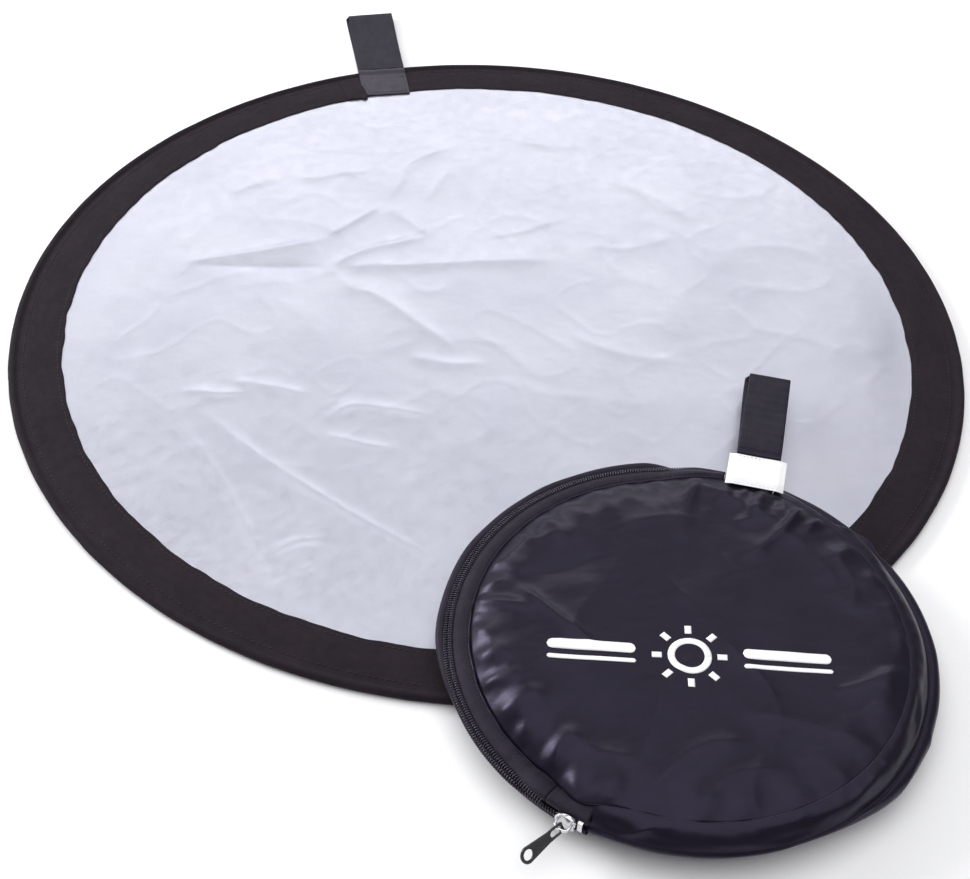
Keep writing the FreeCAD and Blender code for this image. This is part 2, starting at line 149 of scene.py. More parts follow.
def ring_noise(azimuth, waves, seed):
    """Smooth noise from -1 to 1 that closes on itself, with about that many waves in a turn."""
    random = np.random.default_rng(seed)
    total = 0.0 * azimuth
    for wave in range(max(1, waves // 3), waves + 1):
        total = total + random.normal() * np.cos(wave * azimuth + random.uniform(0, 2 * pi))
    return np.clip(total / (0.8 * waves) ** 0.5 / 1.4, -1.0, 1.0)


def smooth_line(points, step):
    """The points of a smooth curve through the given ones (Catmull-Rom), about step apart."""
    p = np.array(points, float)
    ends = np.vstack([2 * p[0] - p[1], p, 2 * p[-1] - p[-2]])
    out = []
    for a, b, c, d in zip(ends, ends[1:], ends[2:], ends[3:]):
        count = max(2, int(np.linalg.norm(c - b) / step))
        for t in np.arange(count) / count:
            square, cube = (2 * a - 5 * b + 4 * c - d) * t**2, (3 * b - a - 3 * c + d) * t**3
            out.append(0.5 * (2 * b + (c - a) * t + square + cube))
    out.append(p[-1])
    return np.array(out)


def along(points):
    """The length run from the first point to each point."""
    return np.concatenate([[0.0], np.cumsum(np.linalg.norm(np.diff(points, axis=0), axis=1))])


def near_line(x, y, line):
    """For each (x, y): its distance from a line, positive to the left, and its share of the line's run."""
    run = along(line)
    best, side, share = np.full(x.shape, 1e9), np.ones(x.shape), np.zeros(x.shape)
    for a, b, low, high in zip(line, line[1:], run, run[1:]):
        d = b - a
        length = max(np.hypot(*d), 1e-9)
        t = np.clip(((x - a[0]) * d[0] + (y - a[1]) * d[1]) / length**2, 0.0, 1.0)
        away = np.hypot(x - a[0] - t * d[0], y - a[1] - t * d[1])
        closer = away < best
        best = np.where(closer, away, best)
        side = np.where(closer, np.sign(d[0] * (y - a[1]) - d[1] * (x - a[0])), side)
        share = np.where(closer, (low + t * (high - low)) / run[-1], share)
    return best * np.where(side == 0, 1.0, side), share


def crease(x, y, points, height, left, right, soft=0.5, fade=0.25):
    """Height of a fold: sharp along its points, and falling over left and right millimetres beside them."""
    line = smooth_line(points, 4.0)
    reach = 4.0 * max(left, right)
    low, high = line.min(0) - reach, line.max(0) + reach
    inside = (x > low[0]) & (x < high[0]) & (y > low[1]) & (y < high[1])
    out = np.zeros(x.shape)
    if not inside.any():
        return out
    away, share = near_line(x[inside], y[inside], line)
    width = np.where(away > 0, left, right)
    blunt = np.sqrt(away**2 + soft**2) - soft
    ends = smooth(share, -0.02, fade) * smooth(1.0 - share, -0.02, fade)
    out[inside] = height * ends * np.exp(-blunt / width)
    return out


def gathers(azimuth, inward, places, seed, length, width, height):
    """Radial puckers along a seam at the given azimuths: ridges that fade out inward from the seam."""
    random = np.random.default_rng(seed)
    out = np.zeros(azimuth.shape)
    for place in places:
        reach = length * random.uniform(0.6, 1.5)
        wide = width * random.uniform(0.7, 1.4)
        tall = height * random.uniform(0.5, 1.3)
        lean = random.uniform(-0.25, 0.25)
        turn = (azimuth - radians(place) + pi) % (2 * pi) - pi
        across = turn * SEAM_R - lean * inward
        spread = wide * (1.0 + 0.8 * inward / reach)
        rise = smooth(inward, -1.0, 5.0) * (1.0 - smooth(inward, 0.25 * reach, reach))
        out = out + tall * rise * hump(across, 0.0, spread)
    return out


# ---------------- meshes
def add_object(name, data):
    """A new object in the scene."""
    made = bpy.data.objects.new(name, data)
    bpy.context.scene.collection.objects.link(made)
    return made


def make_piece(name, points, faces, uv, smooth_faces=True):
    """A mesh object from points in millimetres, faces, and one UV pair in metres for each face corner."""
    mesh = bpy.data.meshes.new(name)
    mesh.from_pydata((np.asarray(points) * MM).tolist(), [], faces)
    layer = mesh.uv_layers.new(name="flat")
    layer.data.foreach_set("uv", (np.asarray(uv, float) * MM).ravel())
    mesh.polygons.foreach_set("use_smooth", [smooth_faces] * len(mesh.polygons))
    mesh.update()
    return add_object(name, mesh)


def cells(rows, columns):
    """The four corners of every cell, as pairs of index arrays, of a grid with that many cells."""
    i, j = (index.ravel() for index in np.meshgrid(np.arange(rows), np.arange(columns), indexing="ij"))
    return [(i, j), (i + 1, j), (i + 1, j + 1), (i, j + 1)]


def grid_piece(name, points, uv, wrap=(False, False), caps=False):
    """A mesh from a grid of points (rows, columns, 3); uv has one more row or column where it wraps."""
    rows, columns = points.shape[:2]
    corners = cells(rows if wrap[0] else rows - 1, columns if wrap[1] else columns - 1)
    faces = np.stack([(a % rows) * columns + b % columns for a, b in corners], 1)
    flat = np.stack([uv[a, b] for a, b in corners], 1).reshape(-1, 2)
    face_list = faces.tolist()
    if caps:
        for row, order in ((0, range(columns)), (rows - 1, range(columns - 1, -1, -1))):
            face_list.append([row * columns + k for k in order])
            flat = np.vstack([flat, [uv[row, k] for k in order]])
    return make_piece(name, points.reshape(-1, 3), face_list, flat)


def resample(points, step, closed=False):
    """The same line with its points evenly spaced, about step apart."""
    line = np.vstack([points, points[:1]]) if closed else np.asarray(points, float)
    run = along(line)
    count = max(2, int(round(run[-1] / step)))
    places = np.linspace(0.0, run[-1], count + 1)
    even = np.stack([np.interp(places, run, line[:, axis]) for axis in range(line.shape[1])], 1)
    return even[:-1] if closed else even


def soften(points, rounds, closed=False):
    """Rounds a line's corners by cutting each one twice at its quarter points, again and again."""
    p = np.array(points, float)
    for _ in range(rounds):
        following = np.roll(p, -1, 0) if closed else p[1:]
        start = p if closed else p[:-1]
        cut = np.stack([0.75 * start + 0.25 * following, 0.25 * start + 0.75 * following], 1).reshape(-1, 2)
        p = cut if closed else np.vstack([p[:1], cut, p[-1:]])
    return p


def side_of(points):
    """The unit vector to the left of a line at each of its points, in its own plane."""
    d = np.gradient(points, axis=0)
    return np.stack([-d[:, 1], d[:, 0]], 1) / np.maximum(np.linalg.norm(d, axis=1), 1e-9)[:, None]


def band(centreline, cloth):
    """The closed outline of a cloth of that thickness along a centreline, with rounded edges."""
    left = side_of(centreline)
    tangent = np.stack([left[:, 1], -left[:, 0]], 1)
    half = cloth / 2
    start = centreline[:1] - tangent[:1] * half * 0.6
    end = centreline[-1:] + tangent[-1:] * half * 0.6
    return np.vstack([centreline - left * half, end, (centreline + left * half)[::-1], start])


def lathe(name, section, azimuths, centre=(0.0, 0.0), shift=None, other=None, share=None):
    """A (radius, height) section turned through the azimuths, in degrees, about a vertical axis.

    The section becomes the other one where share(azimuth) is 1. shift(radius, height, azimuth, run) gives what
    to add to the radius and the height. A whole turn closes on itself, and a part turn gets end caps.
    """
    turn = np.radians(azimuths)
    whole = abs(azimuths[-1] - azimuths[0] - 360.0) < 1e-6
    turn = turn[:-1] if whole else turn
    run = along(np.vstack([section, section[:1]]))
    azimuth, radius, height, run_grid = np.broadcast_arrays(turn[:, None], *section.T, run[:-1])
    if share:
        part = share(azimuth)
        radius = radius + part * (other[:, 0] - section[:, 0])
        height = height + part * (other[:, 1] - section[:, 1])
    if shift:
        out, up = shift(radius, height, azimuth, run_grid)
        radius, height = radius + out, height + up
    points = polar(radius, azimuth, height, centre)
    u = np.append(turn, turn[0] + 2 * pi) if whole else turn
    flat = np.stack(np.meshgrid(u * section[:, 0].max(), run, indexing="ij"), 2)
    return grid_piece(name, points, flat, (whole, True), caps=not whole)


def steps(start, end, step):
    """Azimuths from start to end degrees, about step apart."""
    return np.linspace(start, end, max(2, int(round(abs(end - start) / step))) + 1)


def round_sheet(name, radius, step, centre, height):
    """A flat round cloth as a square grid cut to a circle, with height(x, y) for its lie."""
    count = int(np.ceil(radius / step)) + 1
    axis = np.arange(-count, count + 1) * step
    x, y = np.meshgrid(axis, axis, indexing="ij")
    far = np.hypot(x, y)
    scale = np.where(far > radius, radius / np.maximum(far, 1e-9), 1.0)
    keep = far < radius + step
    x, y = x * scale + centre[0], y * scale + centre[1]
    size = len(axis)
    corners = cells(size - 1, size - 1)
    inside = np.all([keep[a, b] for a, b in corners], 0)
    inner = np.sum([far[a, b] < radius for a, b in corners], 0) >= 2
    faces = np.stack([a * size + b for a, b in corners], 1)[inside & inner]
    used, faces = np.unique(faces, return_inverse=True)
    faces = faces.reshape(-1, 4)
    px, py = x.ravel()[used], y.ravel()[used]
    points = np.stack([px, py, height(px, py)], 1)
    return make_piece(name, points, faces.tolist(), points[faces.ravel(), :2])


def stitches(name, centres, directions, ups, length, thick):
    """A row of sewn stitches: short threads that dip into the cloth at both ends.

    The directions and the up vectors are one for each stitch, or one for them all.
    """
    rings, sides = 5, 6
    t = np.linspace(-1.0, 1.0, rings)
    swell = np.sqrt(np.maximum(1.0 - (0.96 * t) ** 2, 0.0))
    turn = np.arange(sides) * 2 * pi / sides
    base = np.stack(
        [
            np.repeat(t * length / 2, sides),
            np.outer(swell, np.cos(turn)).ravel() * thick,
            np.outer(swell, np.sin(turn)).ravel() * thick * 0.7 - np.repeat(thick * 0.8 * t**4, sides),
        ],
        1,
    )
    quads = [
        [r * sides + s, (r + 1) * sides + s, (r + 1) * sides + (s + 1) % sides, r * sides + (s + 1) % sides]
        for r in range(rings - 1)
        for s in range(sides)
    ]
    ends = [list(range(sides)), [(rings - 1) * sides + s for s in range(sides - 1, -1, -1)]]
    d = unit(np.broadcast_to(directions, centres.shape))
    across = unit(np.cross(ups, d))
    points = centres[:, None, :]
    for column, axis in enumerate((d, across, np.cross(d, across))):
        points = points + base[None, :, column, None] * axis[:, None, :]
    one = quads + ends
    faces = [[corner + k * len(base) for corner in face] for k in range(len(centres)) for face in one]
    flat = np.vstack([points.reshape(-1, 3)[face][:, :2] for face in faces])
    return make_piece(name, points.reshape(-1, 3), faces, flat)


def ring_row(radius, height, azimuths, centre=(0.0, 0.0)):
    """Centres, directions and up vectors of stitches round a circle, at azimuths in degrees."""
    turn = np.radians(azimuths)
    directions = np.stack([-np.sin(turn), np.cos(turn), 0 * turn], 1)
    return polar(radius, turn, height + 0 * turn, centre), directions, np.tile(UP, (len(turn), 1))


def strap(name, path, width, cloth, place, rib=0.0, rib_height=0.0, lie=None, step=0.6):
    """A flat strap with rounded edges along a path of (run, height) points, put in place by place(points).

    Columns of the points are run, distance across and height. lie(run, across) is added to the height.
    """
    line = resample(smooth_line(path, step / 2), step)
    left = side_of(line)
    half, edge = width / 2, cloth / 2
    across = np.concatenate([np.linspace(-half + edge, half - edge, 15), [half - edge * 0.3, half]])
    section = [(a, edge * (1.0 if abs(a) < half - edge * 0.5 else 0.6)) for a in across[:-1]]
    section.append((half, 0.0))
    under = [(a, -h) for a, h in section[-2::-1]]
    start, end = (-half + edge * 0.3, edge * 0.6), (-half + edge * 0.3, -edge * 0.6)
    section = np.array([(-half, 0.0), start] + section + under + [end])
    run = along(line)
    wave = rib_height * np.cos(2 * pi * run / rib) if rib else 0 * run
    s, a = np.meshgrid(run, section[:, 0], indexing="ij")
    h = section[None, :, 1] + np.sign(section[None, :, 1]) * wave[:, None]
    h = h + (lie(s, a) if lie else 0.0)
    ahead, above = (line[:, None, axis] + left[:, None, axis] * h for axis in (0, 1))
    points = np.stack([ahead, a, above], 2)
    around = along(np.vstack([section, section[:1]]))
    flat = np.stack(np.meshgrid(run, around, indexing="ij"), 2)
    return grid_piece(name, place(points), flat, (False, True), caps=True)


def placed(origin, azimuth, pitch=0.0):
    """A function that puts (run, across, height) points at an origin, along an azimuth and pitch."""
    yaw, tilt = radians(azimuth), radians(pitch)
    ahead = np.array([cos(yaw) * cos(tilt), sin(yaw) * cos(tilt), sin(tilt)])
    leftward = np.array([-sin(yaw), cos(yaw), 0.0])
    up = np.cross(ahead, leftward)
    axes = np.stack([ahead, leftward, up])
    return lambda points: np.asarray(points) @ axes + np.asarray(origin, float)


def solidify(piece, thickness, offset=-1.0):
    """Give a single-layer cloth its thickness, in millimetres."""
    layer = piece.modifiers.new("thickness", "SOLIDIFY")
    layer.thickness = thickness * MM
    layer.offset = offset
    layer.use_rim = True


def bevel(piece, width, segments=3):
    """Round a hard part's edges, in millimetres."""
    edge = piece.modifiers.new("edges", "BEVEL")
    edge.width = width * MM
    edge.segments = segments
    edge.limit_method = "ANGLE"
    edge.harden_normals = True


# ---------------- materials
WAVES_IN_ONE = 20.0  # a wave texture's scale is in twentieths of a turn


class Surface:
    """A Principled material with small helpers for procedural textures. Sizes are in millimetres."""

    def __init__(self, name, colour, roughness, coordinates="UV", **sockets):
        self.material = bpy.data.materials.new(name)
        self.material.use_nodes = True
        self.tree = self.material.node_tree
        self.shader = self.tree.nodes["Principled BSDF"]
        self.shader.inputs["Base Color"].default_value = (*colour, 1.0)
        self.shader.inputs["Roughness"].default_value = roughness
        for socket, value in sockets.items():
            self.shader.inputs[socket.replace("_", " ")].default_value = value
        self.place = self.node("ShaderNodeTexCoord").outputs[coordinates]
        self.normal = None

    def node(self, kind, sockets=None, **settings):
        """A new node with its settings, and with its sockets set to numbers or linked to other nodes."""
        made = self.tree.nodes.new(kind)
        for name, value in settings.items():
            setattr(made, name, value)
        for name, value in (sockets or {}).items():
            if isinstance(value, bpy.types.NodeSocket):
                self.link(value, made.inputs[name])
            else:
                made.inputs[name].default_value = value
        return made

    def link(self, source, socket):
        self.tree.links.new(source, socket)

    def spread(self, size):
        """The coordinates, scaled so that size millimetres along each axis are 1."""
        sizes = size if isinstance(size, tuple) else (size, size, size)
        sockets = {"Scale": [1.0 / (each * MM) for each in sizes], "Vector": self.place}
        return self.node("ShaderNodeMapping", sockets).outputs["Vector"]

    def noise(self, size, detail=2.0, rough=0.5, bend=0.0):
        sockets = {"Scale": 1.0, "Detail": detail, "Roughness": rough, "Distortion": bend}
        return self.node("ShaderNodeTexNoise", {**sockets, "Vector": self.spread(size)}).outputs["Fac"]

    def ribs(self, pitch, axis, bend):
        """Even ribs across one axis, pitch apart."""
        sockets = {"Scale": 2 * pi / WAVES_IN_ONE, "Distortion": bend, "Vector": self.spread(pitch)}
        return self.node("ShaderNodeTexWave", sockets, bands_direction=axis).outputs["Fac"]

    def weave(self, thread, bend):
        """Threads that cross at right angles."""
        crossed = {0: self.ribs(thread, "X", bend), 1: self.ribs(thread, "Y", bend)}
        return self.node("ShaderNodeMath", crossed, operation="MULTIPLY").outputs[0]

    def facets(self, size):
        """Cells with straight edges, as crinkled foil has."""
        sockets = {"Scale": 1.0, "Vector": self.spread(size)}
        return self.node("ShaderNodeTexVoronoi", sockets, feature="F2").outputs["Distance"]

    def colour(self, value, dark, light, low=0.3, high=0.7):
        """The base colour runs from dark to light with the value."""
        made = self.node("ShaderNodeValToRGB", {"Fac": value})
        for end, position, tone in zip(made.color_ramp.elements, (low, high), (dark, light)):
            end.position, end.color = position, (*tone, 1.0)
        self.link(made.outputs["Color"], self.shader.inputs["Base Color"])
        return self

    def roughness(self, value, low, high):
        """The roughness runs from low to high with the value."""
        sockets = {"Value": value, "From Min": 0.3, "From Max": 0.7, "To Min": low, "To Max": high}
        spread = self.node("ShaderNodeMapRange", sockets)
        self.link(spread.outputs["Result"], self.shader.inputs["Roughness"])
        return self

    def bump(self, value, height, strength=1.0):
        """Add relief that is height millimetres deep to the relief so far."""
        sockets = {"Strength": strength, "Distance": height * MM, "Height": value}
        if self.normal:
            sockets["Normal"] = self.normal
        self.normal = self.node("ShaderNodeBump", sockets).outputs["Normal"]
        self.link(self.normal, self.shader.inputs["Normal"])
        return self


def silver_material():
    """Metallised woven cloth, near white, with a fine weave and foil-like crinkles."""
    made = Surface("silver_cloth_look", (0.515, 0.519, 0.582), 0.36, Metallic=0.75, Specular_IOR_Level=0.6)
    made.colour(made.noise(70.0, 3.0), (0.49, 0.495, 0.575), (0.54, 0.545, 0.62), 0.3, 0.7)
    made.roughness(made.noise(9.0, 4.0, 0.7), 0.32, 0.44)
    made.bump(made.noise(24.0, 2.0, 0.5), 0.2)
    made.bump(made.facets((16.0, 11.0, 10.0)), 0.2, 0.5)
    made.bump(made.noise(2.4, 3.0, 0.7), 0.05)
    return made.bump(made.weave(0.9, 0.6), 0.02).material


def gold_material():
    """Metallised woven cloth, warm gold."""
    made = Surface("gold_cloth_look", (0.83, 0.62, 0.27), 0.42, Metallic=0.7, Specular_IOR_Level=0.6)
    made.colour(made.noise(60.0, 3.0), (0.78, 0.56, 0.23), (0.88, 0.68, 0.33), 0.3, 0.7)
    made.roughness(made.noise(9.0, 4.0, 0.7), 0.34, 0.52)
    made.bump(made.noise(24.0, 2.0, 0.5), 0.3)
    made.bump(made.facets((15.0, 12.0, 10.0)), 0.2, 0.5)
    return made.bump(made.weave(0.9, 0.6), 0.02).material


def woven_material(name, dark, light, roughness, thread, slack, sheen=0.15, depth=0.05, **sockets):
    """Dull woven cloth: plain weave, slubs and a little lint."""
    made = Surface(name, light, roughness, Sheen_Weight=sheen, Sheen_Roughness=0.4, **sockets)
    made.colour(made.noise((30.0, 18.0, 18.0), 5.0, 0.65), dark, light, 0.32, 0.68)
    made.roughness(made.noise(5.0, 3.0), roughness - 0.06, roughness + 0.06)
    made.bump(made.noise((slack * 1.8, slack, slack), 3.0), 0.25)
    made.bump(made.noise(1.2, 2.0, 0.7), 0.05)
    return made.bump(made.weave(thread, 0.5), depth).material


def satin_material(name, dark, light, roughness, tint, thread=0.5):
    """Smooth satin: a tinted shine, fine threads that run one way, and a soft unevenness."""
    tint = (*tint, 1.0)
    sheen = {"Sheen_Weight": 0.04, "Sheen_Roughness": 0.35, "Sheen_Tint": tint}
    made = Surface(name, light, roughness, Specular_IOR_Level=0.31, Specular_Tint=tint, **sheen)
    made.colour(made.noise(34.0, 4.0, 0.6), dark, light, 0.3, 0.72)
    made.roughness(made.noise((14.0, 4.0, 4.0), 4.0, 0.6), roughness - 0.05, roughness + 0.07)
    made.bump(made.noise((20.0, 13.0, 13.0), 2.0, 0.5, 0.1), 0.4)
    return made.bump(made.ribs(thread, "Y", 0.4), 0.004).material


def hard_material(name, dark, light, roughness, coordinates="Object", **sockets):
    """Metal, paint or moulded plastic with fine handling marks and worn patches."""
    made = Surface(name, light, roughness, coordinates, **sockets)
    made.colour(made.noise(3.5, 4.0, 0.7), dark, light, 0.3, 0.62)
    made.roughness(made.noise(1.6, 4.0, 0.7), roughness * 0.75, roughness * 1.35)
    made.bump(made.noise((0.5, 3.0, 0.5), 3.0, 0.7), 0.012)
    return made.bump(made.noise(1.4, 3.0), 0.02).material


SILVER = silver_material()
GOLD = gold_material()
RIM_TONES = (0.0105, 0.0065, 0.0105), (0.017, 0.011, 0.016)
RIM_CLOTH = woven_material("rim_cloth_look", *RIM_TONES, 0.82, 0.9, 9.0, 0.03, Specular_IOR_Level=0.18)
THREAD_TONES = (0.009, 0.007, 0.009), (0.018, 0.015, 0.019)
THREAD = woven_material("thread_look", *THREAD_TONES, 0.6, 0.4, 4.0, 0.05, Specular_IOR_Level=0.3)
SATIN_TONES = (0.0048, 0.0038, 0.007), (0.008, 0.0064, 0.0116)
SATIN = satin_material("case_cloth_look", *SATIN_TONES, 0.34, (0.7, 0.62, 1.0))
RIBBON_TONES = (0.0045, 0.004, 0.0066), (0.0075, 0.0068, 0.0105)
RIBBON = satin_material("ribbon_look", *RIBBON_TONES, 0.56, (0.76, 0.7, 1.0), 0.9)
# The patch is the same satin ribbon as the loop, but its base colour is several times lighter: painted sheen.
PATCH_PAINTED_SHEEN_TONES = (0.024, 0.02, 0.029), (0.038, 0.032, 0.044)
PATCH_PAINTED_SHEEN = satin_material("patch_painted_sheen_look", *PATCH_PAINTED_SHEEN_TONES, 0.46, (0.86, 0.8, 1.0), 0.9)
TAPE_TONES = (0.0085, 0.0068, 0.0115), (0.0155, 0.0125, 0.0205)
TAPE_SHINE = {"Specular_IOR_Level": 0.25, "Specular_Tint": (0.85, 0.75, 1.0, 1.0)}
TAPE = woven_material("zip_tape_look", *TAPE_TONES, 0.6, 0.9, 6.0, 0.03, 0.1, **TAPE_SHINE)
WEB_TONES = (0.0055, 0.0048, 0.0085), (0.012, 0.0105, 0.017)
WEB_SHINE = {"Specular_IOR_Level": 0.28, "Specular_Tint": (0.82, 0.74, 1.0, 1.0)}
WEBBING = woven_material("webbing_look", *WEB_TONES, 0.5, 1.1, 5.0, 0.02, 0.16, **WEB_SHINE)
LABEL = woven_material("label_look", (0.84, 0.84, 0.86), (0.93, 0.93, 0.94), 0.42, 0.45, 8.0, 0.1)
WHITE_THREAD = woven_material("white_thread_look", (0.7, 0.7, 0.72), (0.85, 0.85, 0.86), 0.5, 0.4, 4.0, 0.2)
PRINT = woven_material("print_look", (0.86, 0.86, 0.88), (0.93, 0.93, 0.94), 0.5, 0.5, 12.0, 0.0)
COIL_SHINE = {"Specular_IOR_Level": 0.6, "Specular_Tint": (0.85, 0.78, 1.0, 1.0)}
COIL = hard_material("zip_coil_look", (0.008, 0.0068, 0.0105), (0.02, 0.0172, 0.026), 0.24, **COIL_SHINE)
NICKEL = hard_material("nickel_look", (0.55, 0.54, 0.57), (0.78, 0.77, 0.8), 0.2, Metallic=1.0)
STEEL = hard_material("steel_look", (0.3, 0.31, 0.33), (0.5, 0.51, 0.53), 0.32, Metallic=1.0)
PAINT_COAT = {"Coat_Weight": 0.5, "Coat_Roughness": 0.1}
PAINT = hard_material("pull_paint_look", (0.006, 0.005, 0.006), (0.016, 0.014, 0.016), 0.22, **PAINT_COAT)


def finish_piece(piece, look, slot, *nodes):
    """Give a piece its material and hide the CAD nodes that it stands for; the slot is not used."""
    piece.data.materials.append(look)
    if nodes:
        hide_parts(*nodes)
    return piece


def dress_node(name, look, edge=0.0):
    """A CAD node that stays: a material of its own and rounded edges."""
    node = frame["nodes"][name]
    node.data.materials.clear()
    node.data.materials.append(look)
    for polygon in node.data.polygons:
        polygon.material_index = 0
    if edge:
        bevel(node, edge)


def fold_disc(piece):
    """Bake the piece's placement into its mesh."""
    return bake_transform(piece)


# ---------------- the disc's two faces
# Creases of the silver cloth: points, height, fall on the left and on the right of the line.
FACE_CREASES = [
    ([(-186, 103), (-130, 103), (-79, 107)], 1.3, 5, 12),
    ([(-181, 102), (-136, 88), (-89, 76)], -0.8, 7, 10),
    ([(-82, 108), (-60, 121), (-36, 136)], 1.2, 8, 4),
    ([(-36, 136), (-27, 118), (-13, 92)], 1.1, 4, 9),
    ([(-13, 93), (-38, 91), (-62, 88), (-90, 76)], 1.2, 9, 5),
    ([(-34, 137), (-18, 158), (-6, 178), (36, 193)], 0.9, 8, 6),
    ([(-89, 76), (-40, 66), (0, 59), (66, 46)], 1.1, 12, 5),
    ([(-89, 76), (-77, 51), (-62, 38), (-26, -27)], 1.4, 6, 12),
    ([(-92, 186), (-79, 176), (-56, 177), (-34, 174)], 0.8, 8, 6),
    ([(-140, 171), (-118, 178), (-98, 183)], 0.7, 7, 5),
    ([(-8, 129), (6, 148), (23, 169)], 0.7, 6, 6),
    ([(20, 82), (48, 83), (80, 90)], 0.7, 8, 4),
    ([(78, 60), (112, 48), (150, 52)], 0.5, 10, 6),
    ([(-171, -16), (-150, -27), (-126, -41)], 1.2, 3, 6),
    ([(-199, -18), (-180, -27), (-161, -31)], 1.0, 4, 3),
    ([(-125, -67), (-108, -58), (-93, -60), (-56, -79)], 1.1, 5, 4),
    ([(-127, -75), (-104, -90), (-84, -100)], 0.9, 4, 5),
    ([(-60, -20), (-38, -34), (-12, -40)], 0.8, 5, 5),
    ([(-204, -46), (-190, -95), (-181, -141), (-170, -192)], 0.9, 3, 5),
    ([(-194, -33), (-168, -80), (-142, -117), (-120, -146), (-79, -196)], 1.1, 4, 6),
    ([(-183, -187), (-170, -198), (-154, -211)], 1.0, 4, 4),
    ([(-175, -162), (-158, -156), (-141, -157)], 0.8, 5, 4),
    ([(40, -20), (70, -52), (110, -70)], 0.6, 10, 8),
    ([(120, 130), (150, 96), (168, 60)], 0.6, 12, 8),
    ([(60, 200), (96, 176), (128, 168)], 0.6, 8, 8),
]
SILVER_STEP = 1.9
GOLD_STEP = 2.6
FREE_FROM_RIM, FREE_TO_RIM = 30.0, 2.0  # the binding holds the cloth flat from so far inside its edge
CRUMPLED_AT = (-165.0, -190.0)
CRUMPLED_WIDTH = 45.0


def face_lie(x, y):
    """Height of the cloth over its plane: creases, a slack roll, and fine crinkles that die at the rim."""
    rise = 0.0 * x
    for points, height, left, right in FACE_CREASES:
        rise = rise + crease(x, y, points, 0.9 * height, 0.75 * left, 0.75 * right, soft=0.3)
    slack = 0.9 * lattice_noise(x, y, 120.0, 3) + 0.4 * lattice_noise(x, y, 56.0, 4)
    ridged = 0.25 * (1.0 - np.abs(lattice_noise(x, y, 46.0, 5))) ** 4
    fine = 0.06 * lattice_noise(x, y, 13.0, 6)
    fine = fine + 0.16 * (1.0 - np.abs(lattice_noise(x, y, 27.0, 7))) ** 8
    crumpled = np.exp(-(((x - CRUMPLED_AT[0]) ** 2 + (y - CRUMPLED_AT[1]) ** 2) / CRUMPLED_WIDTH**2))
    crinkle = crumpled * 0.5 * (1.0 - np.abs(lattice_noise(x, y, 10.0, 8))) ** 3
    rim_in = DISC_R - RIM_WIDTH
    free = 1.0 - smooth(np.hypot(x, y), rim_in - FREE_FROM_RIM, rim_in - FREE_TO_RIM)
    return (rise + slack + ridged + fine + crinkle) * free


def make_faces():
    """The silver cloth and, just under it, the gold one."""

    def silver_height(x, y):
        return DISC_TOP + face_lie(x, y)

    def gold_height(x, y):
        return DISC_BACK + np.maximum(0.85 * face_lie(x, y), -1.3) + 0.2 * lattice_noise(x, y, 30.0, 9)

    silver = round_sheet("silver_face", FACE_R, SILVER_STEP, (0.0, 0.0), silver_height)
    finish_piece(silver, SILVER, "silver_cloth", "silver_face_front", "silver_face_rear")
    gold = round_sheet("back_face", FACE_R, GOLD_STEP, (0.0, 0.0), gold_height)
    gold.data.flip_normals()
    finish_piece(gold, GOLD, "gold_cloth", "back_face_front", "back_face_rear")
    fold_disc(silver)
    fold_disc(gold)


# ---------------- the disc's rim
BEAD_R = BEAD_TOP / 2
BEAD_AT = DISC_R - BEAD_R
LEAF_CLOTH = 0.6
LEAF_TOP = DISC_TOP + LEAF_CLOTH
SEAMS = (270.3, 290.8)
STITCH_PITCH = 3.4
STITCH_LENGTH = 2.7
STITCH_THICK = 0.27
STITCH_LIFT = 0.12


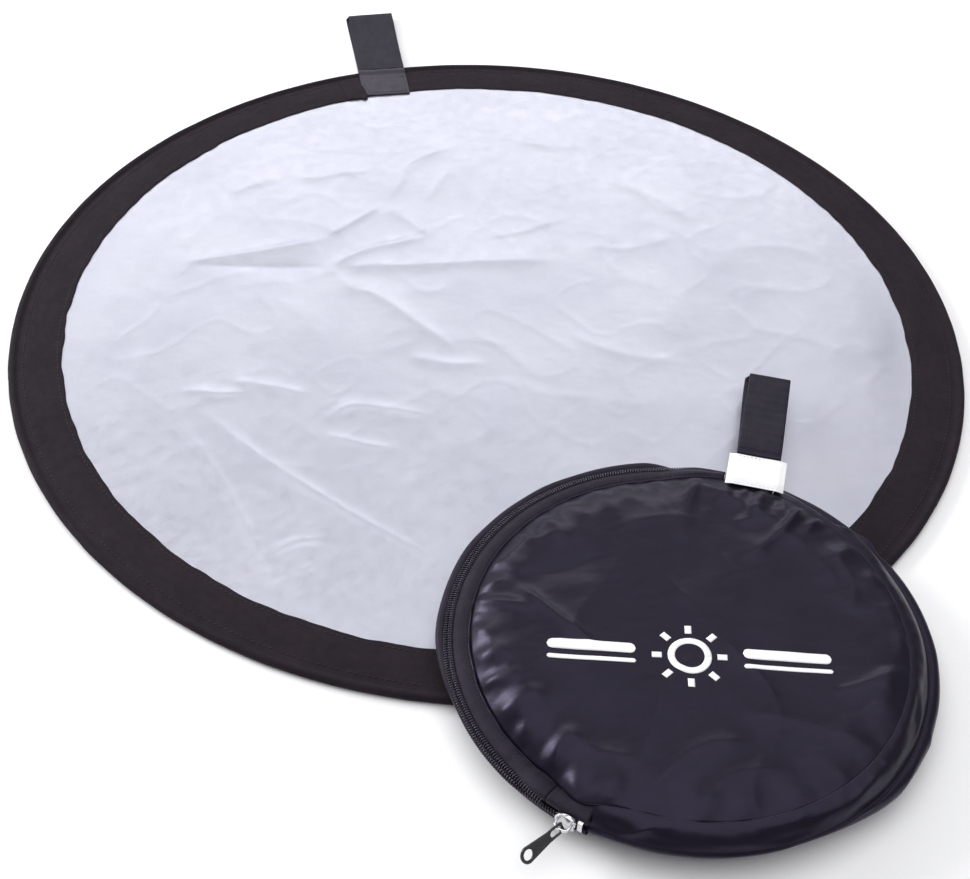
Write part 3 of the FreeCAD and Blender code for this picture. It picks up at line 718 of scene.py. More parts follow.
def make_rim():
    """The binding: a band on each side of the cloth, and round the hoop the bead that it is sewn into."""
    rim_in = DISC_R - RIM_WIDTH
    middle = BEAD_TOP / 2
    leaf = LEAF_TOP - LEAF_CLOTH / 2 - middle
    tube = BEAD_R - LEAF_CLOTH / 2
    top = [(rim_in, leaf - 0.05), (SEAMS[0], leaf - 0.1), (rim_in + 10, leaf + 0.3)]
    top += [(SEAMS[1] - 6, leaf + 0.25), (SEAMS[1], leaf - 0.12), (SEAMS[1] + 2.6, leaf - 0.3)]
    turn = np.radians(np.linspace(160.0, -160.0, 22))
    bead = [(BEAD_AT + tube * cos(t), tube * sin(t)) for t in turn]
    under = [(r, -h) for r, h in reversed(top)]
    centreline = resample(soften(top + bead + under, 2), 1.3) + np.array([0.0, middle])
    section = band(centreline, LEAF_CLOTH)

    def shift(radius, height, azimuth, run):
        inner = 1.0 - smooth(radius, rim_in, rim_in + 14.0)
        on_leaf = 1.0 - smooth(radius, SEAMS[1], BEAD_AT - BEAD_R)
        above = np.where(height > middle, 1.0, -1.0)
        out = inner * (0.55 * ring_noise(azimuth, 46, 11) + 0.35 * ring_noise(azimuth, 120, 12))
        loose = 0.14 * ring_noise(azimuth, 90, 13) + 0.1 * ring_noise(azimuth + radius / 90.0, 160, 14)
        near_seam = hump(radius, SEAMS[1], 3.0) + hump(radius, SEAMS[0], 3.0)
        pucker = 0.05 * np.cos(azimuth * 2 * pi * radius / STITCH_PITCH) * near_seam
        round_bead = smooth(radius, BEAD_AT - BEAD_R, BEAD_AT) * 0.12 * ring_noise(azimuth, 70, 15)
        return out - round_bead, above * on_leaf * (np.abs(loose) + pucker)

    binding = lathe("rim_binding", section, steps(0.0, 360.0, 0.5), shift=shift)
    finish_piece(binding, RIM_CLOTH, "rim_cloth", "rim_binding_front", "rim_binding_rear")
    fold_disc(binding)

    rows = []
    for seam in SEAMS:
        places = np.arange(0.0, 360.0, np.degrees(STITCH_PITCH / seam))[:-1]
        for height, up in ((LEAF_TOP + STITCH_LIFT, 1.0), (BEAD_TOP - LEAF_TOP - STITCH_LIFT, -1.0)):
            centres, directions, ups = ring_row(seam, height, places)
            rows.append((centres, directions, up * ups))
    rows = (np.vstack(part) for part in zip(*rows))
    threads = stitches("rim_stitching", *rows, STITCH_LENGTH, STITCH_THICK)
    finish_piece(threads, THREAD, "thread", "rim_stitching_front", "rim_stitching_rear")
    fold_disc(threads)

    strip_in, strip_out, strip_low, strip_high = HOOP_R - 0.88, HOOP_R - 0.02, 0.8, 4.2
    strip = [(strip_in, strip_low), (strip_out, strip_low), (strip_out, strip_high), (strip_in, strip_high)]
    hoop = lathe("spring_hoop", soften(strip, 2, True), steps(0.0, 360.0, 1.0))
    finish_piece(hoop, STEEL, "spring_steel", "spring_hoop_front", "spring_hoop_rear")
    fold_disc(hoop)
    dress_node("hoop_splice_sleeve", STEEL, 0.1)


JOIN_START, JOIN_END = 93.5, 96.7


def make_join():
    """The binding's ends lap beside the hanging loop, and a corner of the under layer sticks out inside."""
    rim_in = DISC_R - RIM_WIDTH
    azimuths = np.radians(np.linspace(JOIN_START, JOIN_END, 25))
    share = np.linspace(0.0, 1.0, 40)
    azimuth, s = np.meshgrid(azimuths, share, indexing="ij")
    sweep = (azimuth - azimuths[0]) / (azimuths[-1] - azimuths[0])
    tooth = 3.2 * hump(sweep, 0.2, 0.14) + 0.9 * hump(sweep, 0.55, 0.2)
    inner = rim_in - 0.6 - tooth
    radius = inner + (SEAMS[1] + 2.0 - inner) * s
    lift = 0.35 * hump(sweep, 0.08, 0.06) * (0.4 + 0.6 * np.sin(3.0 * s + 0.5))
    height = LEAF_TOP + 0.42 + lift - 0.25 * smooth(sweep, 0.8, 1.0) - 0.3 * hump(s, 0.0, 0.04)
    flat = np.stack([azimuth * rim_in, radius], 2)
    join = grid_piece("rim_binding_join_cloth", polar(radius, azimuth, height), flat)
    solidify(join, 0.4)
    finish_piece(join, RIM_CLOTH, "rim_cloth", "rim_binding_join")
    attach(join, "disc_rear")


# ---------------- the disc's hanging loop
RIBBON_WIDTH = 35.0
RIBBON_CLOTH = 0.7


def make_hanging_loop():
    """The satin ribbon: a patch sewn over the rim, and the loop itself lying flat beyond it."""
    hinge = Vector(JOINTS["loop_swing"]["pos_m"])
    over_rim = placed((hinge.x / MM, hinge.y / MM, 0.0), RIBBON_AZ)
    leaf = LEAF_TOP + 0.4
    climb = [(-39.0, leaf - 0.35), (-37.7, leaf), (-25.0, leaf + 0.25), (-15.5, leaf + 0.1)]
    climb += [(-11.6, leaf + 0.2), (-8.8, BEAD_TOP + 0.2), (-6.2, BEAD_TOP + 0.2), (-4.9, BEAD_TOP - 0.5)]

    def patch_lie(run, across):
        return 0.25 * lattice_noise(run * 1.3, across, 9.0, 21) + 0.12 * np.cos(across * 0.5 + run * 0.2)

    patch = strap("hanging_loop_patch_cloth", climb, RIBBON_WIDTH + 0.4, 0.5, over_rim, lie=patch_lie)
    # The patch's lighter satin is painted sheen; it is the same ribbon as the loop.
    finish_piece(patch, PATCH_PAINTED_SHEEN, "satin_ribbon", "hanging_loop_patch")
    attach(patch, "disc_rear")

    run = np.arange(-36.4, -14.0, 2.4)
    across = np.arange(-RIBBON_WIDTH / 2 + 3.4, RIBBON_WIDTH / 2 - 3.0, 2.4)
    edge = RIBBON_WIDTH / 2 - 2.2
    rows = [(run, 0 * run + side, (1.0, 0.0, 0.0)) for side in (-edge, edge)]
    rows += [(0 * across + end, across, (0.0, 1.0, 0.0)) for end in (-36.0, -16.2)]
    centres = over_rim(np.vstack([np.stack([a, b, 0 * a + leaf + 0.42], 1) for a, b, _ in rows]))
    turn = placed((0.0, 0.0, 0.0), RIBBON_AZ)
    directions = np.vstack([np.tile(turn(np.array(way)), (len(a), 1)) for a, _, way in rows])
    seam = stitches("hanging_loop_stitching", centres, directions, UP, 1.9, 0.22)
    finish_piece(seam, THREAD, "thread")
    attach(seam, "disc_rear")

    low, high, tip = 0.75, 4.45, RIBBON_REACH
    layers = [(-4.6, low + 1.1), (0.0, low + 0.1), (38.0, low), (tip - 4.0, low + 0.1)]
    layers += [(tip - 0.9, low + 0.9), (tip - 0.4, 2.6), (tip - 0.9, high - 0.9), (tip - 4.0, high - 0.1)]
    layers += [(42.0, high - 1.0), (13.0, high - 0.5), (0.0, high + 0.1), (-4.9, BEAD_TOP - 0.35)]

    def ribbon_place(points):
        points = np.array(points)
        upper = smooth(points[..., 2], 1.6, 3.6)
        away = smooth(points[..., 0], 0.0, tip)
        points[..., 1] += (1.1 * (1.0 - upper) - 0.6 * upper) * away
        points[..., 0] -= 0.04 * points[..., 1] * away
        return over_rim(points)

    def ribbon_lie(run, across):
        return 0.3 * lattice_noise(run, across, 22.0, 22) + 0.1 * lattice_noise(run, across, 7.0, 23)

    ribbon = strap("hanging_loop_ribbon", layers, RIBBON_WIDTH, RIBBON_CLOTH, ribbon_place, lie=ribbon_lie)
    finish_piece(ribbon, RIBBON, "satin_ribbon", "hanging_loop")
    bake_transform(ribbon)


# ---------------- the case's cloth
# Folds of the case's front: points, height, fall on the left and on the right of the line.
FRONT_FOLDS = [
    ([(-57, -233), (-44, -258), (-29, -286)], 1.9, 2.6, 3),
    ([(-54, -228), (-30, -232), (-4, -226)], -1.4, 8, 12),
    ([(74, -341), (92, -341), (116, -337)], 1.2, 2.5, 5),
    ([(107, -209), (111, -224), (86, -241), (62, -251)], 2.6, 5, 9),
    ([(64, -189), (79, -209), (96, -230)], 1.5, 4, 6),
    ([(70, -222), (82, -226), (97, -226)], 1.2, 4, 4),
    ([(-2, -214), (26, -210), (58, -218)], 1.6, 9, 16),
    ([(-60, -214), (-36, -206), (-14, -211)], 1.5, 5, 9),
    ([(-84, -248), (-76, -234), (-58, -224)], 1.3, 5, 8),
    ([(-76, -262), (-74, -290), (-64, -318)], 1.5, 8, 9),
    ([(-66, -322), (-52, -342), (-30, -356)], 1.6, 6, 10),
    ([(-39, -375), (-4, -356), (30, -358)], 1.8, 7, 6),
    ([(-20, -389), (6, -374), (40, -378)], 1.4, 6, 6),
    ([(60, -366), (92, -352), (112, -334)], 1.4, 9, 7),
    ([(22, -340), (50, -352), (84, -378)], 1.1, 7, 9),
    ([(104, -300), (116, -278), (114, -248)], 1.4, 9, 7),
    ([(88, -232), (103, -250), (108, -282)], 1.2, 7, 6),
]
FRONT_STEP = 1.5
BACK_STEP = 2.2
CASE_CLOTH = 0.7
FRONT_PUFF = 0.6
ZIP_SEAM_Z = 19.4
SEWN_SEAM_Z = 27.0
# Azimuths of the gathers, in degrees.
ZIP_GATHERS = [47, 58, 66, 78, 88, 97, 109, 117, 126, 138, 147, 153, 164, 173, 181, 192, 200, 211, 219, 228]
SIDE_GATHERS = [239, 252, 262, 277, 291, 302, 318, 330, 341, 352, 364, 376]
LABEL_GATHERS = [388, 394, 400, 405, 411]


def zip_side(azimuth):
    """1 along the zip, where the front's seam lies low beside the chain, and 0 along the sewn side."""
    turn = (np.degrees(azimuth) - MOUTH_AZ + 180.0) % 360.0 - 180.0
    return window(turn, (-82.0, -54.0), (80.0, 96.0))


def seam_height(azimuth):
    """Height of the front's seam, round the case."""
    return SEWN_SEAM_Z + (ZIP_SEAM_Z - SEWN_SEAM_Z) * zip_side(azimuth)


def front_lie(x, y):
    """Height of the case's front: a puffed top that rolls down to its seam, with gathers and folds."""
    dx, dy = x - CASE_X, y - CASE_Y
    radius, azimuth = np.hypot(dx, dy), np.arctan2(dy, dx)
    inward = SEAM_R - radius
    low = seam_height(azimuth)
    top = FRONT_Z + FRONT_PUFF * (1.0 - (radius / SEAM_R) ** 2)
    on_zip = zip_side(azimuth)
    wave = 1.0 + 0.22 * ring_noise(azimuth, 26, 37)
    shoulder = np.sin(0.5 * pi * np.clip(inward / ((13.0 + 15.0 * on_zip) * wave), 0.0, 1.0)) ** 0.85
    puckers = gathers(azimuth, inward, ZIP_GATHERS, 31, 27.0, 4.4, 1.9)
    puckers = puckers + gathers(azimuth, inward, SIDE_GATHERS, 32, 17.0, 4.0, 1.0)
    puckers = puckers + gathers(azimuth, inward, LABEL_GATHERS, 38, 24.0, 2.6, 1.8)
    fine = gathers(azimuth, inward, np.arange(40.0, 400.0, 4.7), 33, 8.0, 1.5, 0.5) * (0.25 + 0.75 * on_zip)
    folds = 0.0 * x
    for points, height, left, right in FRONT_FOLDS:
        folds = folds + crease(x, y, points, height, left, right, soft=1.0)
    slack = lattice_noise(x, y, 62.0, 34) + 0.6 * lattice_noise(x, y, 27.0, 35)
    slack = slack + 0.1 * lattice_noise(x, y, 9.0, 36)
    ridged = 0.8 * (1.0 - np.abs(lattice_noise(x, 0.7 * y, 44.0, 39))) ** 4
    free = smooth(inward, -0.5, 10.0)
    return low + (top - low) * shoulder + puckers + fine + (folds + slack + ridged) * free


def open_mouth(piece):
    """Bake the piece's placement into its mesh."""
    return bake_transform(piece)


# Beside the zip's closed end the cloth spills out over the seam.
SPILL_AZ, SPILL_WIDTH = 223.0, 6.5
SPILL_OUT, SPILL_RISE = 5.5, 2.6


def make_front():
    """The front of the case: one gathered cloth, from the fixed half to the flap that lifts."""
    radii = np.concatenate([[0.05], np.arange(FRONT_STEP, SEAM_R - 0.3, FRONT_STEP), [SEAM_R - 0.2]])
    azimuths = np.radians(np.arange(0.0, 360.0, 0.9))
    azimuth, radius = np.meshgrid(azimuths, radii, indexing="ij")
    x, y = CASE_X + radius * np.cos(azimuth), CASE_Y + radius * np.sin(azimuth)
    height = front_lie(x, y)
    spill = hump(np.degrees(azimuth), SPILL_AZ, SPILL_WIDTH) * smooth(radius, SEAM_R - 22.0, SEAM_R)
    height = height + SPILL_RISE * spill
    x, y = x + SPILL_OUT * spill * np.cos(azimuth), y + SPILL_OUT * spill * np.sin(azimuth)
    points = np.stack([x, y, height], 2)
    flat = np.concatenate([points[..., :2], points[:1, :, :2]])
    front = grid_piece("case_front_cloth", points, flat, (True, False))
    front.data.flip_normals()
    solidify(front, CASE_CLOTH)
    finish_piece(front, SATIN, "case_cloth", "case_front_panel", "case_mouth_flap")
    open_mouth(front)


def make_back():
    """The back of the case, lying on the disc: a flat cloth with a few drag lines."""

    def height(x, y):
        radius = np.hypot(x - CASE_X, y - CASE_Y)
        azimuth = np.arctan2(y - CASE_Y, x - CASE_X)
        free = 1.0 - smooth(radius, BACK_R - 12.0, BACK_R)
        puckers = gathers(azimuth, BACK_R - radius, np.arange(0.0, 360.0, 11.0), 41, 14.0, 3.0, 0.5)
        slack = 0.5 * lattice_noise(x, y, 55.0, 42) + 0.25 * lattice_noise(x, y, 21.0, 43)
        return BACK_Z + 0.9 + (np.abs(slack) * 1.2) * free + puckers * free

    back = round_sheet("case_back_cloth", BACK_R, BACK_STEP, CASE_AT, height)
    solidify(back, CASE_CLOTH)
    finish_piece(back, SATIN, "case_cloth", "case_back_panel")
    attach(back, "case")


OUTSIDE_R = 128.0
TUCK_AZ, KNUCKLE_AZ, DENT_AZ = 254.0, 378.0, 387.0
GUSSET_CLOTH = 0.9


def make_gusset():
    """The side without a zip: the front rolls over into a crease, and a soft ridge runs outside it."""
    points = [(SEAM_R - 0.6, SEWN_SEAM_Z - 0.15), (115.2, 26.3), (118.6, 24.2), (121.0, 21.0)]
    points += [(122.3, 18.4), (123.2, 17.2), (125.4, 17.6), (127.9, 16.4), (128.6, 13.6)]
    points += [(126.6, 10.4), (121.5, 8.0), (BACK_R, BACK_Z + 1.3)]
    centreline = resample(smooth_line(points, 0.8), 0.9)
    section = band(centreline, GUSSET_CLOTH)
    whole = along(centreline)[-1]
    fold = whole * 0.37
    start, end = radians(GUSSET_START), radians(GUSSET_END)

    def shift(radius, height, azimuth, run):
        run = np.minimum(run, 2 * whole - run)
        free = window(azimuth, (start, start + 0.2), (end - 0.16, end))
        ridge = window(run, (fold - 1.0, fold + 5.0), (whole - 14.0, whole))
        near = 1.0 - smooth(np.abs(azimuth - radians(TUCK_AZ)), 0.35, 1.0)
        tuck = -6.5 * near * window(run, (fold + 1.0, fold + 6.0), (whole - 12.0, whole))
        arc = azimuth * OUTSIDE_R
        big = 1.2 * lattice_noise(arc + 1.4 * run, run * 0.6, 46.0, 51)
        big = big + 0.7 * lattice_noise(arc - 1.1 * run, run, 21.0, 52)
        sharp = 1.5 * (1.0 - np.abs(lattice_noise(arc + 1.8 * run, run * 0.7, 34.0, 53))) ** 4
        above = window(run, (2.0, 7.0), (fold - 5.0, fold - 1.0))
        seam = gathers(azimuth, run, np.arange(228.0, 402.0, 5.3), 54, 10.0, 2.0, 0.6)
        foot = gathers(azimuth, whole - run, np.arange(230.0, 402.0, 6.1), 55, 8.0, 2.0, 0.5)
        knuckle = 3.4 * hump(azimuth, radians(KNUCKLE_AZ), 0.045) * hump(run - fold, 2.0, 5.0)
        dent = -3.2 * hump(azimuth, radians(DENT_AZ), 0.05) * above
        under_tape = -3.2 * (1.0 - smooth(azimuth, start, start + 0.1))
        out = free * (ridge * (0.7 * big + 0.5 * sharp) + 0.6 * above * (big + sharp)) + knuckle + dent + tuck
        up = free * (above * (0.8 * big + sharp) + 0.4 * ridge * big)
        up = up + 0.5 * seam * (1.0 - smooth(run, 5.0, 12.0)) + dent
        out, up = out + 0.5 * under_tape, up + under_tape * (1.0 - smooth(run, fold + 4.0, fold + 12.0))
        return out, up - 0.4 * foot * ridge

    gusset = lathe("case_gusset_cloth", section, steps(GUSSET_START, GUSSET_END, 0.6), CASE_AT, shift)
    finish_piece(gusset, SATIN, "case_cloth", "case_gusset")
    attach(gusset, "case")


def make_piping():
    """The rolled seams round the front and the back of the case."""

    def cord(name, radius, height, thick, azimuths, wobble, seed, lie=None):
        turn = np.arange(10) * 2 * pi / 10
        section = np.stack([radius + thick * np.cos(turn), height + thick * np.sin(turn)], 1)

        def shift(r, z, azimuth, run):
            scallop = wobble * ring_noise(azimuth, 64, seed)
            lift = lie(azimuth) if lie else 0.0
            return scallop, lift + 0.5 * wobble * ring_noise(azimuth, 90, seed + 1)

        return lathe(name, section, azimuths, CASE_AT, shift)

    flap_turn = steps(FLAP_START, FLAP_END, 0.8)
    fixed_turn = steps(FLAP_END + FLAP_CUT, FLAP_START + 360.0 - FLAP_CUT, 0.8)
    flap = cord("flap_seam", SEAM_R + 0.4, 0.1, 0.6, flap_turn, 0.35, 61, seam_height)
    finish_piece(flap, SATIN, "case_binding", "flap_piping")
    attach(flap, "case_flap")
    fixed = cord("front_seam", SEAM_R, -0.85, 0.5, fixed_turn, 0.35, 61, seam_height)
    finish_piece(fixed, SATIN, "case_binding", "front_piping")
    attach(fixed, "case")
    back = cord("back_seam", BACK_R + 0.8, BACK_Z + 0.75, 0.7, steps(0.0, 360.0, 0.8), 0.15, 63)
    finish_piece(back, SATIN, "case_binding", "back_piping")
    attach(back, "case")


# ---------------- the zip
TAPE_CLOTH = 0.6
COIL_PITCH = 1.5
COIL_WIRE = 0.36
COIL_DEPTH = 1.15
COIL_HALF = 1.35
COIL_APART = 1.55
COIL_ROLL = 55.0
CHAIN_R = 123.65
FLAP_CUT = 0.2  # degrees between the flap's pieces and the fixed ones that go on from them


def rolled_flat(azimuth):
    """1 where the chain has rolled flat and faces up, and 0 near the zip's ends, where it is upright."""
    degrees = np.degrees(azimuth) % 360.0
    return window(degrees, (65.5, 76.0), (203.0, 214.0))


def bulge(azimuth):
    """1 along the far side and the left, where the case's back bulges past the chain, and 0 elsewhere."""
    degrees = np.degrees(azimuth) % 360.0
    return window(degrees, (62.0, 80.0), (158.0, 196.0))


def make_tapes():
    """The two tapes: one from the front's seam to the chain, and one from the chain to the back."""
    count = 20

    def tape_section(points):
        line = smooth_line(points, 0.4)
        run = along(line)
        places = np.linspace(0.0, run[-1], count)
        return band(np.stack([np.interp(places, run, line[:, axis]) for axis in (0, 1)], 1), TAPE_CLOTH)

    at_seam, at_back = (SEAM_R + 0.3, ZIP_SEAM_Z), (BACK_R, BACK_Z + 1.0)
    upright = [at_seam, (115.0, 20.9), (118.5, 22.1), (121.6, 22.2), (123.2, 21.0), (ZIP_R, 19.2)]
    flat = [at_seam, (114.5, 19.9), (117.0, 20.0), (119.5, 19.2), (121.4, 17.9), (123.2, 16.6)]
    tucked = [(ZIP_R, 14.6), (124.2, 12.6), (122.4, 9.8), (118.5, 7.8), at_back]
    bulged = [(124.4, 15.6), (127.2, 17.4), (129.7, 16.4), (129.0, 12.0), (122.0, 8.2), at_back]
    upright, flat, tucked, bulged = map(tape_section, (upright, flat, tucked, bulged))

    def front_shift(radius, height, azimuth, run):
        near_seam = 1.0 - smooth(radius, SEAM_R + 1.5, ZIP_R - 2.0)
        wave = 0.3 * ring_noise(azimuth, 40, 71) + 0.2 * ring_noise(azimuth, 110, 72)
        at_chain = wave * smooth(ZIP_R - radius, 1.0, 5.0)
        return 0.0 * radius, (seam_height(azimuth) - ZIP_SEAM_Z) * near_seam + at_chain

    def back_shift(radius, height, azimuth, run):
        free = bulge(azimuth) * smooth(radius, 124.0, 128.0)
        return 0.35 * free * ring_noise(azimuth, 18, 73), 0.4 * free * ring_noise(azimuth, 30, 74)

    def tape(name, section, other, share, shift, start, end, body, node):
        piece = lathe(name, section, steps(start, end, 0.6), CASE_AT, shift, other, share)
        finish_piece(piece, TAPE, "zip_tape", node)
        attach(piece, body)

    front = (upright, flat, rolled_flat, front_shift)
    tape("front_tape", *front, FLAP_START, FLAP_END, "case_flap", "zip_tape_upper")
    tape("front_tape_closed_end", *front, FLAP_END + FLAP_CUT, TAPE_END, "case", "zip_tape_end_closed")
    tape("front_tape_open_end", *front, TAPE_START, FLAP_START - FLAP_CUT, "case", "zip_tape_end_open")
    tape("back_tape", tucked, bulged, bulge, back_shift, TAPE_START, TAPE_END, "case", "zip_tape_lower")

    def sewn(name, start, end, body):
        radius = SEAM_R + 2.2
        centres, directions, ups = ring_row(radius, 0.0, np.arange(start + 0.6, end - 0.5, 1.3), CASE_AT)
        azimuth = np.arctan2(centres[:, 1] - CASE_Y, centres[:, 0] - CASE_X)
        part = rolled_flat(azimuth)
        _, lift = front_shift(np.full(azimuth.shape, radius), 0.0, azimuth, 0.0)
        centres[:, 2] = 20.9 - part + 0.42 + lift
        piece = stitches(name, centres, directions, ups, 2.0, 0.24)
        finish_piece(piece, THREAD, "thread")
        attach(piece, body)

    sewn("front_tape_stitching", FLAP_START, FLAP_END, "case_flap")
    sewn("front_tape_end_stitching", FLAP_END, TAPE_END, "case")


def coil(name, height, tilt, start, end, phase):
    """One strand: a nylon wire wound in flattened turns along the zip, thicker at the interlocking heads."""
    count = int(radians(end - start) * ZIP_R / COIL_PITCH)
    per_turn, sides = 14, 6
    t = np.arange(count * per_turn + 1) / per_turn
    turn = 2 * pi * (t + phase)
    azimuth = radians(start) + t * COIL_PITCH / ZIP_R
    roll = radians(COIL_ROLL) * rolled_flat(azimuth)
    deep, tall = COIL_DEPTH * np.cos(turn), height - ZIP_Z + tilt * COIL_HALF * np.sin(turn)
    radius = CHAIN_R + deep * np.cos(roll) - tall * np.sin(roll)
    lift = ZIP_Z + deep * np.sin(roll) + tall * np.cos(roll)
    centre = polar(radius, azimuth, lift, CASE_AT)
    ahead = unit(np.gradient(centre, axis=0))
    outward = unit(polar(radius - CHAIN_R, azimuth, lift - ZIP_Z))
    aside = unit(np.cross(ahead, outward))
    out = np.cross(aside, ahead)
    head = 1.0 + 0.45 * smooth(-np.sin(turn), 0.5, 1.0)
    around = np.arange(sides) * 2 * pi / sides
    wire = COIL_WIRE * head[:, None, None]
    ring = np.cos(around)[None, :, None] * out[:, None, :]
    ring = ring + np.sin(around)[None, :, None] * aside[:, None, :] * 1.3
    points = centre[:, None, :] + wire * ring
    flat = np.stack(np.meshgrid(t * COIL_PITCH, np.arange(sides + 1) * 0.4, indexing="ij"), 2)
    return grid_piece(name, points, flat, (False, True), caps=True)


def make_chain():
    """Both strands of the chain, whose heads meet at the zip's middle line, and the two end stops."""
    upper = coil("zip_coil_upper", ZIP_Z + COIL_APART, 1.0, FLAP_START + 0.1, FLAP_END - 0.1, 0.0)
    finish_piece(upper, COIL, "zip_coil", "zip_teeth_upper")
    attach(upper, "case_flap")
    lower = coil("zip_coil_lower", ZIP_Z - COIL_APART, -1.0, FLAP_START + 0.1, FLAP_END + 8.4, 0.5)
    finish_piece(lower, COIL, "zip_coil", "zip_teeth_lower")
    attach(lower, "case")
    for stop in ("zip_stop_open_end", "zip_stop_closed_end"):
        dress_node(stop, NICKEL, 0.3)


def plate(name, outlines, thickness, edge):
    """A flat plate with round edges from 2-D outlines (the first is its outside, the others are holes)."""
    curve = bpy.data.curves.new(name, "CURVE")
    curve.dimensions = "2D"
    curve.fill_mode = "BOTH"
    curve.extrude = (thickness / 2 - edge) * MM
    curve.bevel_depth = edge * MM
    curve.bevel_resolution = 3
    curve.offset = -edge * MM
    for outline in outlines:
        spline = curve.splines.new("POLY")
        spline.points.add(len(outline) - 1)
        for point, (x, y) in zip(spline.points, outline):
            point.co = (x * MM, y * MM, 0.0, 1.0)
        spline.use_cyclic_u = True
    holder = add_object(name + "_curve", curve)
    bpy.context.view_layer.update()
    mesh = bpy.data.meshes.new_from_object(holder.evaluated_get(bpy.context.evaluated_depsgraph_get()))
    bpy.data.objects.remove(holder)
    mesh.name = name
    return add_object(name, mesh)


def move_mesh(piece, placement):
    """Put a piece's own vertices where they belong, so that its object stays at the origin."""
    piece.data.transform(placement)
    piece.data.update()
    return piece


def arc(centre, radius, start, end, count=24):
    """Points on an arc, azimuths in degrees."""
    turn = np.radians(np.linspace(start, end, count))
    return [(centre[0] + radius * cos(t), centre[1] + radius * sin(t)) for t in turn]


def slider_frame(lift_radius):
    """A frame at the slider: X along the zip (closing way), Y up, Z outward, its origin at a radius."""
    outward = heading(SLIDER_AZ)
    ahead = Vector((-outward.y, outward.x, 0.0))
    placement = Matrix((ahead, Vector(UP), outward)).transposed().to_4x4()
    placement.translation = Vector((CASE_X, CASE_Y, ZIP_Z)) * MM + outward * lift_radius * MM
    return placement


# Half sizes of the slider's plates, and the radii at which its parts stand.
SLIDER_HALF_LENGTH = 5.5
SLIDER_WIDE = 4.8
SLIDER_NARROW = 3.1
PLATE_RADII = {"slider_outer_plate": 125.9, "slider_inner_plate": 121.3}
LIP_RADII = (125.0, 122.2)
POST_RADIUS = 123.6
BRIDGE_RADIUS = 126.3


def slider_outline():
    """The slider's shield shape: wide where the two strands enter, narrower behind, with round corners."""
    long, wide, narrow = SLIDER_HALF_LENGTH, SLIDER_WIDE, SLIDER_NARROW
    corners = [(-long, -narrow), (0.8, -wide), (long, -wide + 0.6), (long - 0.9, 0.0)]
    corners += [(long, wide - 0.6), (0.8, wide), (-long, narrow)]
    return soften(corners, 3, True).tolist()


def make_slider():
    """The nickel slider: two plates with rolled lips, the post between them, and the arched bridge."""
    parts = []

    def add(name, outline, thickness, edge, radius):
        parts.append(move_mesh(plate(name, [outline], thickness, edge), slider_frame(radius)))

    for name, radius in PLATE_RADII.items():
        add(name, slider_outline(), 1.2, 0.35, radius)
    lip = [(-4.6, 3.0), (0.6, 4.45), (4.6, 4.2), (4.6, 3.5), (0.6, 3.7), (-4.6, 2.3)]
    for side in (-1.0, 1.0):
        for radius in LIP_RADII:
            add("slider_lip", [(x, side * y) for x, y in lip], 1.3, 0.25, radius)
    post = [(1.0, -0.5), (5.2, -1.5), (5.4, 0.0), (5.2, 1.5), (1.0, 0.5)]
    add("slider_post", soften(post, 1, True).tolist(), 4.6, 0.2, POST_RADIUS)
    body = join_pieces("slider_shell", parts)
    finish_piece(body, NICKEL, "slider_metal", "slider_body")
    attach(body, "zip_slider")

    length, tall, bar = 8.6, 5.25, 1.15
    half = length / 2
    left_half = [(-half, 0.0), (-half + 0.2, tall - 1.8), (-half + 1.8, tall)]
    outside = left_half + [(-x, y) for x, y in reversed(left_half)]
    right_half = [(half - bar, 0.0), (half - bar - 0.2, tall - 2.4), (half - 2.3, tall - bar)]
    inside = right_half + [(-x, y) for x, y in reversed(right_half)]
    outline = np.vstack([soften(outside, 3), soften(inside, 3)]).tolist()
    bridge = plate("slider_bridge_arch", [outline], 1.9, 0.45)
    stand = Matrix(((1, 0, 0), (0, 0, 1), (0, 1, 0))).to_4x4()
    move_mesh(bridge, slider_frame(BRIDGE_RADIUS) @ stand)
    bridge.data.flip_normals()
    finish_piece(bridge, NICKEL, "slider_metal", "slider_bridge")
    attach(bridge, "zip_slider")


def join_pieces(name, parts):
    """One mesh object from several that are already in place."""
    points, faces, at = [], [], 0
    for part in parts:
        points += [tuple(vertex.co / MM) for vertex in part.data.vertices]
        faces += [[at + corner for corner in polygon.vertices] for polygon in part.data.polygons]
        at = len(points)
        bpy.data.objects.remove(part)
    flat = [points[corner][:2] for face in faces for corner in face]
    return make_piece(name, points, faces, flat)


def make_pull_tab():
    """The black pull: it tapers out from a slotted root to a round end with a hole."""
    eye_at, eye_out, eye_in = 22.0, 4.3, 2.7
    root, slot_end, slot_half = 0.7, 7.5, 1.6
    tip = arc((eye_at, 0.0), eye_out, -84.0, 84.0)
    outline = [(-root, 2.2), (-root, -2.2), (0.0, -2.6), (9.0, -2.7)] + tip + [(9.0, 2.7), (0.0, 2.6)]
    hole = arc((eye_at, 0.0), eye_in, 360.0, 15.0)
    slot = arc((slot_end - slot_half, 0.0), slot_half, 90.0, -90.0, 12)
    slot += [(root + 0.6, -slot_half), (root, -slot_half + 0.6)]
    slot += [(root, slot_half - 0.6), (root + 0.6, slot_half)]
    tab = plate("pull_tab_plate", [outline, hole, slot], 1.0, 0.22)
    pivot = Matrix.Translation(Vector(JOINTS["pull_swing"]["pos_m"]))
    yaw = Matrix.Rotation(radians(PULL_AZ), 4, "Z")
    roll = Matrix.Rotation(radians(90.0 - PULL_ROLL), 4, "X")
    move_mesh(tab, pivot @ yaw @ roll)
    finish_piece(tab, PAINT, "pull_paint", "pull_tab")
    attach(tab, "pull_tab")


